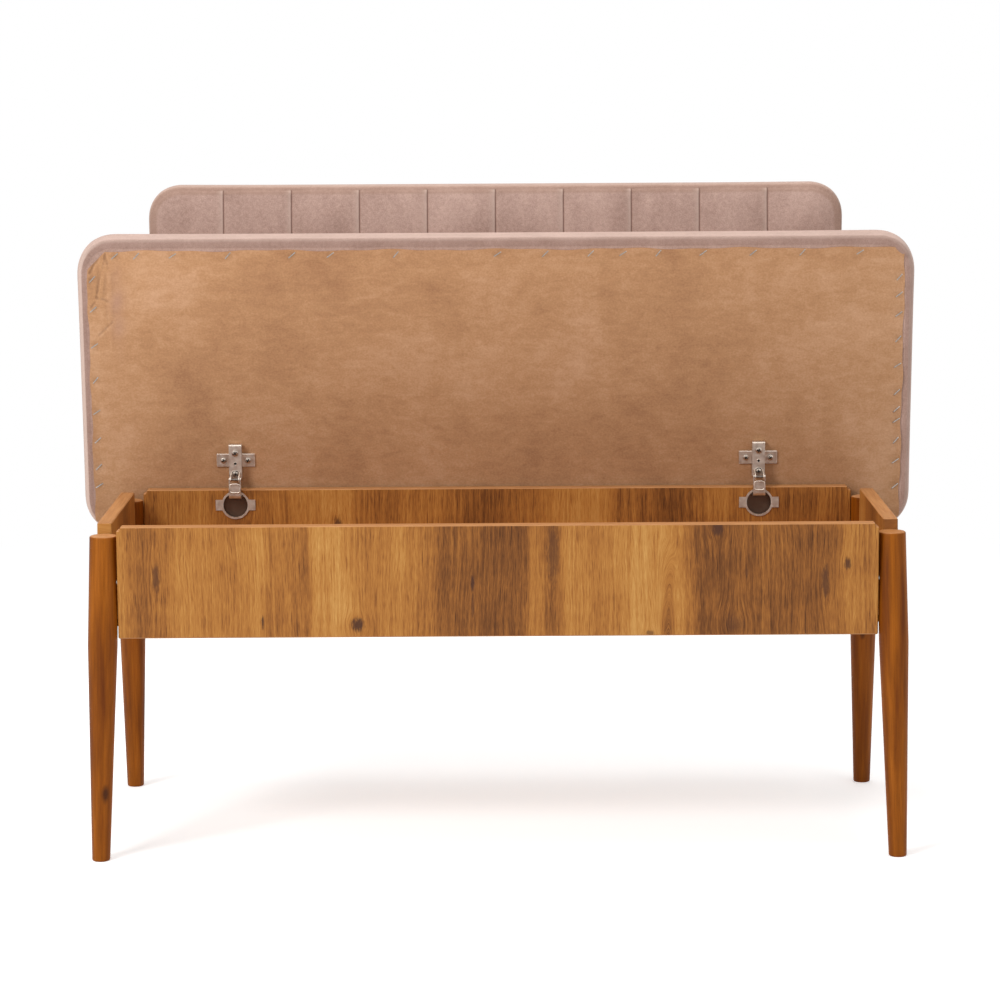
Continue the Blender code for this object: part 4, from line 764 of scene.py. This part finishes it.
# the upper left corner is folded under along a slanting line
y = y - 0.0022 * np.clip(y / half_u, 0, 1) ** 4
over = np.clip((-x - half_a + y - half_u + 0.026) / 1.4142, 0, None)
x, y = x + over / 1.4142, y - over / 1.4142
u = y + mid_u
height = sheet_height(x, u)
outer = on_seat(x, u, -height)
inner = on_seat(x, u, 0.00096 - 0.6 * np.clip(height, 0, None))
count = outer.shape[0] * outer.shape[1]
points = np.concatenate([outer.reshape(-1, 3), inner.reshape(-1, 3)])
front_faces = grid_faces(len(columns), len(rows))
faces = front_faces + [[count + i for i in quad[::-1]] for quad in front_faces]
rim = border(len(columns), len(rows))
faces += np.column_stack([rim, np.roll(rim, -1), count + np.roll(rim, -1), count + rim]).tolist()
# painted shade darkens the creases and the pinches round the staples, and a mauve patch lies
# beside the creases
crease_shade = np.clip(-crumples(x, u), 0, 1)
for spot_a, spot_u in spots:
    crease_shade = crease_shade + 0.35 * np.exp(-(((x - spot_a) ** 2 + (u - spot_u) ** 2) / 0.005 ** 2))
across, down = x + half_a, mid_u + half_u - u
# a mauve patch near the upper left corner, in faint bands
mauve_patch = np.exp(-((across - 0.038) / 0.009) ** 2 - ((down - 0.075) / 0.045) ** 2)
mauve_patch = mauve_patch * (0.75 + 0.25 * np.sin(down * 160 + across * 90))
fields = dict(sheet_painted_shade=np.tile(np.clip(crease_shade, 0, 1).ravel(), 2),
              sheet_mauve_patch=np.tile(mauve_patch.ravel(), 2))
backing = put_mesh("seat_paperboard_backing", points, faces, kraft, "lid", sharp=60, fields=fields)
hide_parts("lid_backing")

# Staples. Flat steel wire, 11 mm across and 1.2 mm wide, shot in by hand at odd slants and
# driven nearly flush, so each holds the backing down in a pinch and the seat still closes.
# Galvanised wire: a bright grey metal, a little dull, drawn in marks under 1 mm.
steel_wire = speckled("galvanised_staple_wire", 0.35, 1400.0, 2.0, "#8A8580", "#C4BFBA",
                      metallic=1.0)
slants = 0.72 + 0.16 * np.sin(np.arange(len(spots)) * 2.4)
# a staple: a flat wire carried along an arch of eight places, from one leg to the other
path = np.array([(-.0056, .0022), (-.0057, .0004), (-.0054, .0000), (-.0044, -.00010),
                 (.0044, -.00010), (.0054, .0000), (.0057, .0004), (.0056, .0022)])
way = np.gradient(path, axis=0)
way /= np.linalg.norm(way, axis=1, keepdims=True)
side = np.column_stack([-way[:, 1], way[:, 0]])
wide, thick = 0.00060, 0.00015
ring_points = np.stack([
    np.column_stack([path + side * thick * s, np.full(8, wide * t)])
    for s, t in ((1, 1), (1, -1), (-1, -1), (-1, 1))], 1).reshape(-1, 3)
along, depth, across = ring_points.T
a = spots[:, :1] + along * np.cos(slants)[:, None] - across * np.sin(slants)[:, None]
u = spots[:, 1:] + along * np.sin(slants)[:, None] + across * np.cos(slants)[:, None]
w = depth - sheet_height(a, u)[:, 8:24].max(axis=1, keepdims=True)
points = on_seat(a, u, w)
faces = [[i + 32 * k for i in face] for k in range(len(spots)) for face in capped_tube(8, 4)]
staples = put_mesh("backing_staples", points, faces, steel_wire, "lid", sharp=50)

# Lid board and backrest board: raw chipboard, seen only at the edges of their pockets.
chipboard, node, shader = new_finish("raw_chipboard", 0.85)
place = node("TexCoord", [], 3)
chips = node("TexVoronoi", {"Vector": place, "Scale": 420.0}, 1)
chip = node("SeparateXYZ", [chips], 0)
colour = node("ValToRGB", [chip], stops=[(0.0, "#8F6E45"), (1.0, "#D6B98A"), (0.4, "#B8965F"),
                                         (0.7, "#C7A775")])
lay_on(shader, colour, chip, 0.4, 0.0004)
dress(["lid_board", "backrest_board"], chipboard)

# Concealed hinges. Pressed steel with bright nickel plating: a cup sunk in the rear panel, a
# bent link, a channel arm and a winged plate screwed through the backing into the lid.
# Their sheet is 1 to 2 mm thick, with sheared edges and fine rolling marks along it.
nickel, node, shader = new_finish("nickel_plated_steel", 0.42, metallic=1.0)
place = node("TexCoord", [], 3)
rolled = node("VectorMath MULTIPLY", [place, (1, 0.06, 0.06)])
marks = node("TexNoise", {"Vector": rolled, "Scale": 2600.0, "Detail": 2.0})
haze = node("TexNoise", {"Vector": place, "Scale": 160.0, "Detail": 4.0})
colour = node("ValToRGB", [haze], stops=[(0.35, "#C9BBAE"), (0.65, "#D8CCC1")])
# grease and shadow darken the cups' insides, which lie behind the panel's inner face
parts_of_place = node("SeparateXYZ", [place]).node.outputs
behind = node("MapRange", [parts_of_place[1], 0.1020, 0.1050])
below = node("MapRange", [parts_of_place[2], 0.410, 0.406])
inside = node("Math MULTIPLY", [behind, below])
colour = node("Mix", {0: inside, 6: colour, 7: paint("#6A5548")}, **RGBA)
rough = summed(node, (marks, 0.3, 0.7, 0.36, 0.46), (haze, 0.3, 0.7, -0.03, 0.08))
lay_on(shader, colour, marks, 0.04, 0.00005, rough)
dress([f"{hand}_{part}" for hand in ("left", "right")
       for part in ("hinge_cup", "hinge_link", "hinge_arm", "mounting_plate")], nickel)
# Plain turned steel: darker than the plating round it, so the pins' ends stand out.
hinge_pin = speckled("plain_steel_pin", 0.4, 900.0, 3.0, "#6E6660", "#8F8780", metallic=1.0)
dress([f"{hand}_{part}" for hand in ("left", "right") for part in ("cup_pin", "arm_pin")],
      hinge_pin)

# Screws and bolts. The plate's wood screws and the arm's two machine screws have low pan
# heads with a pressed cross recess; the backrest's bolts have the same heads, larger.
# Zinc-plated screw steel: bright and slightly scuffed, so each head catches one small light.
# Painted shade: an almost black, dull finish put in each recess and punched hole, where shade
# falls.
screw_steel = speckled("zinc_plated_screw_steel", 0.33, 1200.0, 4.0, "#A3968B", "#CCC0B4",
                       metallic=1.0, rough=(0.25, 0.42))
shade = speckled("painted_shade_in_hollows", 0.6, 900.0, 2.0, "#0F0C0A", "#1E1814")
HANDS = (("left", -1), ("right", 1))
ARM_TIP, ARM_ROOT = 0.0695, 0.0245  # where each arm's face ends, measured up the seat
PLATE_HOLE_ASIDE, PLATE_HOLE_UP = 0.016, 0.0465
HEAD_SIDES = 48


def arm_level(forward):
    """How far out of the seat's underside the arm's face stands, at a distance up it."""
    share = (ARM_TIP - forward) / (ARM_TIP - ARM_ROOT)
    return -(0.012 + 0.002 * share)


def cross_head(place, outward, radius, dome, shank, length, twist=0.0):
    """A pan-head screw: polar rings round its axis, with a crossed recess in the head.

    The recess's outline in polar form is the smaller of the arm's length and its half-width
    divided by the sine of the angle from the arm; rings inside it lie deep, rings outside it
    follow the dome, then the head's side, the seat under it, and the shank.
    """
    turn = np.linspace(0, tau, HEAD_SIDES, endpoint=False)
    off = (turn + pi / 4) % (pi / 2) - pi / 4
    aside = np.maximum(np.abs(np.sin(off)), 1e-6)
    arm = np.minimum(0.66 * radius / np.cos(off), 0.17 * radius / aside)
    deep = 0.55 * radius
    rings = [(arm * 0.05, -deep), (arm * 0.55, -deep * 0.8), (arm * 0.93, -deep * 0.35),
             (arm, 0.0), (arm * 1.04 + 0.00003, 0.00002)]
    rings = [(r, dome * (1 - (np.minimum(r, radius) / radius) ** 2) + h) for r, h in rings]
    for share in (0.72, 0.86, 0.95):
        r = np.maximum(arm * 1.06 + 0.00004, share * radius)
        rings.append((r, dome * (1 - (r / radius) ** 2)))
    rings += [(radius * 0.985, dome * 0.02), (radius, -0.25 * dome), (radius, -dome),
              (radius * 0.97, -1.15 * dome), (shank, -1.15 * dome), (shank, -length),
              (shank * 0.3, -length - shank)]
    reach = np.stack([np.broadcast_to(r, turn.shape) for r, h in rings])
    lift = np.stack([np.broadcast_to(h, turn.shape) for r, h in rings])
    local = np.stack([reach * np.cos(turn + twist), reach * np.sin(turn + twist), lift], -1)
    out = Vector(outward).normalized()
    spin = np.array(out.to_track_quat("Z", "Y").to_matrix())
    points = local @ spin.T + np.array(place)
    return points.reshape(-1, 3), capped_tube(len(rings), HEAD_SIDES)


def put_screw(name, spot, outward, body, radius, dome, shank, length, twist):
    """One screw in place of its CAD node, its recess painted in shade by a second finish."""
    points, faces = cross_head(spot, outward, radius, dome, shank, length, twist)
    screw = put_mesh(name + "_cross", points, faces, screw_steel, body, sharp=30)
    screw.data.materials.append(shade)
    finish = np.zeros(len(faces), int)
    finish[:3 * HEAD_SIDES] = 1
    finish[-2] = 1
    screw.data.polygons.foreach_set("material_index", finish)
    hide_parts(name)


lean = pi / 2 - SEAT_OPEN
to_viewer = (0, -cos(lean), -sin(lean))
twists = iter((0.3, 1.1, 0.7, 0.2, 0.9, 0.5, 1.3, 0.1))
for hand, side in HANDS:
    middle = side * HINGE_ACROSS
    for place, offset in zip(("inner", "outer")[::side],
                             (-PLATE_HOLE_ASIDE, PLATE_HOLE_ASIDE)):
        spot = on_seat(middle + offset, PLATE_HOLE_UP, -0.0041)
        put_screw(f"{hand}_plate_{place}_screw", spot, to_viewer, "lid", 0.0038, 0.0009,
                  0.0016, 0.014, next(twists))
    for use, forward, radius in (("fixing", 0.0585, 0.0042), ("adjusting", 0.031, 0.0036)):
        spot = on_seat(middle, forward, arm_level(forward) - 0.0018)
        put_screw(f"{hand}_arm_{use}_screw", spot, to_viewer, "lid", radius, 0.0008, 0.0018,
                  0.007, next(twists))

# Pressed details of the hinges: a rolled rim stands round the link's flat web, a punched
# hole, drawn as a dish of painted shade with a small rim, lies between the arm's screws, and a
# wider one round the lower screw.


def rolled_rim(centre, half_a, half_u, corner, thick, at):
    """A round bar carried round a rounded rectangle; `at` puts (a, u, out) in the part."""
    turn = np.linspace(0, tau, 56, endpoint=False)
    path_a = np.clip(2.2 * np.cos(turn), -1, 1) * (half_a - corner) + corner * np.cos(turn)
    path_u = np.clip(2.2 * np.sin(turn), -1, 1) * (half_u - corner) + corner * np.sin(turn)
    round_bar = np.linspace(0, tau, 12, endpoint=False)
    spread = 1 + thick * np.cos(round_bar)[:, None] / np.hypot(path_a, path_u)
    out = np.broadcast_to(thick * np.sin(round_bar)[:, None], spread.shape)
    points = at(centre[0] + path_a * spread, centre[1] + path_u * spread, out)
    faces = grid_faces(12, 56, wrap=True)
    last = 11 * 56
    faces += [[last + i, last + (i + 1) % 56, (i + 1) % 56, i] for i in range(56)]
    return points, faces


def hollow(centre, radius, at):
    """A shallow dish of painted shade: rings that fall from its edge to a flat floor."""
    turn = np.linspace(0, tau, 32, endpoint=False)
    reach = np.array([0.05, 0.8, 0.95, 1.0, 0.98])[:, None] * radius
    out = np.broadcast_to(np.array([0.1, 0.1, 0.2, 0.25, -0.3])[:, None] * 0.001, (5, 32))
    points = at(centre[0] + reach * np.cos(turn), centre[1] + reach * np.sin(turn), out)
    return points, capped_tube(5, 32)


for hand, side in HANDS:
    middle = side * HINGE_ACROSS
    link_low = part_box(f"{hand}_hinge_link")[0]
    web = lambda a, u, out: np.stack(np.broadcast_arrays(a, link_low.y + 0.0002 - out, u), -1)
    points, faces = rolled_rim((middle, 0.4104), 0.0066, 0.0058, 0.0030, 0.0010, web)
    put_mesh(f"{hand}_link_rolled_rim", points, faces, nickel, "hinge_links")
    for use, forward, radius in (("middle", 0.0445, 0.0021), ("lower", 0.031, 0.0047)):
        level = arm_level(forward)
        face = lambda a, u, out: on_seat(a, u, level - out)
        points, faces = hollow((middle, forward), radius, face)
        dish = put_mesh(f"{hand}_arm_{use}_hollow", points, faces, shade, "lid", sharp=40)
        points, faces = rolled_rim((middle, forward), radius, radius, radius * 0.999, 0.00045,
                                   face)
        put_mesh(f"{hand}_arm_{use}_eyelet", points, faces, nickel, "lid")

# The backrest's bolts: two of each bracket's heads show inside the box, two behind the back.
for hand, side in HANDS:
    for part, outward in (("bracket_inner", -1), ("bracket_outer", -1),
                          ("backrest_low", 1), ("backrest_high", 1)):
        name = f"{hand}_{part}_bolt"
        low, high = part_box(name)
        spot = ((low.x + high.x) / 2, (low.y, high.y)[outward > 0], (low.z + high.z) / 2)
        put_screw(name, spot, (0, outward, 0), "frame", 0.0065, 0.0016, 0.003,
                  high.y - low.y - 0.003, 0.4)

# Backrest. Ten upright channels are sewn through the velvet and its foam, with a plain sewn
# border; the cover is stapled behind a chipboard, and black lining cloth closes the back.
BACK_MIDDLE = (BACK_LOW + BACK_HIGH) / 2
rose_back = velvet("dusty_rose_velvet_backrest", "#CFB0A3", "#A4867A", (1, 1, 0.6))
points, faces, held, parts = padded_cover(
    BACK_WIDTH, BACK_HIGH - BACK_LOW, BACK_CORNER, BACK_THICKNESS, BACK_EDGE, CHANNEL_SEAMS)
place = np.column_stack([points[:, 0], BACK_REAR_Y - points[:, 2], BACK_MIDDLE + points[:, 1]])
back = put_mesh("backrest_velvet_cover", place, faces, rose_back, "frame", sharp=50,
                fields=parts["fields"])
plump(back, held)
smooth_once(back, [(0.9, ring(parts, 0)), (1.0, np.flatnonzero(parts["seam"]))])
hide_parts("backrest_cushion")

# Black spunbond: matt cloth of melted fibres, with bond points 1.6 mm apart.
lining = speckled("black_spunbond_lining", 0.95, 45.0, 4.0, "#1D1C1B", "#2D2B2A",
                  relief=("TexVoronoi", {"Scale": 620.0}, 0.5, 0.0003))
dress(["backrest_lining"], lining)

# Brackets of the backrest: 6 mm flat steel bent to a J and bolted on at both ends, coated in
# matt black powder whose fine orange peel is about 1 mm across.
powder = speckled("black_powder_coat", 0.5, 60.0, 4.0, "#191919", "#272625",
                  relief=("TexNoise", {"Scale": 1000.0, "Detail": 2.0}, 0.3, 0.0001))
dress(["left_backrest_bracket", "right_backrest_bracket"], powder)

# The studio: a white floor that fades into a white surrounding, the camera at the photograph's
# viewpoint, and broad soft lamps, the strongest from the upper left, so shadows stay faint.


def seen_by_eye(node):
    """1 for the rays that show the white surrounding to the eye, 0 for those that light."""
    rays = node("LightPath").node.outputs
    seen = node("Math MAXIMUM", [rays["Is Camera Ray"], rays["Is Glossy Ray"]])
    return node("Math MAXIMUM", [seen, rays["Is Transmission Ray"]])


paper, node, shader = new_finish("white_paper_floor", 0.9)
shader.inputs["Base Color"].default_value = paint("#F4F4F4")
white = node("Emission", {"Color": paint("#FFFFFF"), "Strength": 1.0})
glow = node("Emission", {"Color": paint("#FFFFFF"), "Strength": 0.45})
both = node("AddShader", [shader.outputs[0], glow])
far = node("VectorMath LENGTH", [node("TexCoord", [], 3)], 1)
far = node("MapRange", [far, 1.1, 2.4])
brightening = node("MixShader", [far, both, white])
pick = node("MixShader", [seen_by_eye(node), shader.outputs[0], brightening])
tree = paper.node_tree
tree.links.new(pick, tree.nodes["Material Output"].inputs[0])
across = np.linspace(-5.0, 5.0, 11)
points = np.stack([*np.meshgrid(across, across), np.zeros((11, 11))], -1)
floor = put_mesh("paper_floor", points, grid_faces(11, 11), paper, None, sharp=80)

world = bpy.data.worlds.new("studio_light")
bpy.context.scene.world = world
world.use_nodes = True
tree = world.node_tree
node = partial(add, tree)
level = node("MapRange", [seen_by_eye(node), 0.0, 1.0, 0.42, 1.0])
tree.nodes["Background"].inputs[0].default_value = paint("#FFFFFF")
tree.links.new(level, tree.nodes["Background"].inputs[1])
for name, place, aim, size, power in (
        ("key_softbox", (-2.4, -2.6, 2.9), (0, 0, 0.45), 1.4, 92),
        ("fill_softbox", (2.6, -2.4, 1.6), (0, 0, 0.4), 2.2, 16),
        ("top_softbox", (0.0, 0.3, 3.2), (0, 0, 0.4), 2.0, 42)):
    lamp = bpy.data.lights.new(name, "AREA")
    lamp.shape, lamp.size, lamp.energy = "SQUARE", size, power
    lamp_object = bpy.data.objects.new(name, lamp)
    bpy.context.scene.collection.objects.link(lamp_object)
    lamp_object.location = place
    lamp_object.rotation_euler = (Vector(aim) - Vector(place)).to_track_quat("-Z", "Y").to_euler()

lens = bpy.data.cameras.new("viewpoint")
lens.lens, lens.sensor_width, lens.sensor_fit = 119.5, 36.0, "HORIZONTAL"
camera = bpy.data.objects.new("viewpoint", lens)
bpy.context.scene.collection.objects.link(camera)
yaw, pitch, roll = 0.0020, 0.1445, -0.0055
ahead = Vector((sin(yaw) * cos(pitch), cos(yaw) * cos(pitch), -sin(pitch)))
level_right = Vector((cos(yaw), -sin(yaw), 0))
level_up = level_right.cross(ahead)
right = level_right * cos(roll) + level_up * sin(roll)
above = level_up * cos(roll) - level_right * sin(roll)
camera.matrix_world = Matrix.Translation((-0.005, -4.21805, 1.0206)) @ Matrix(
    (right, above, -ahead)).transposed().to_4x4()
bpy.context.scene.camera = camera
bpy.context.scene.view_settings.view_transform = "Standard"
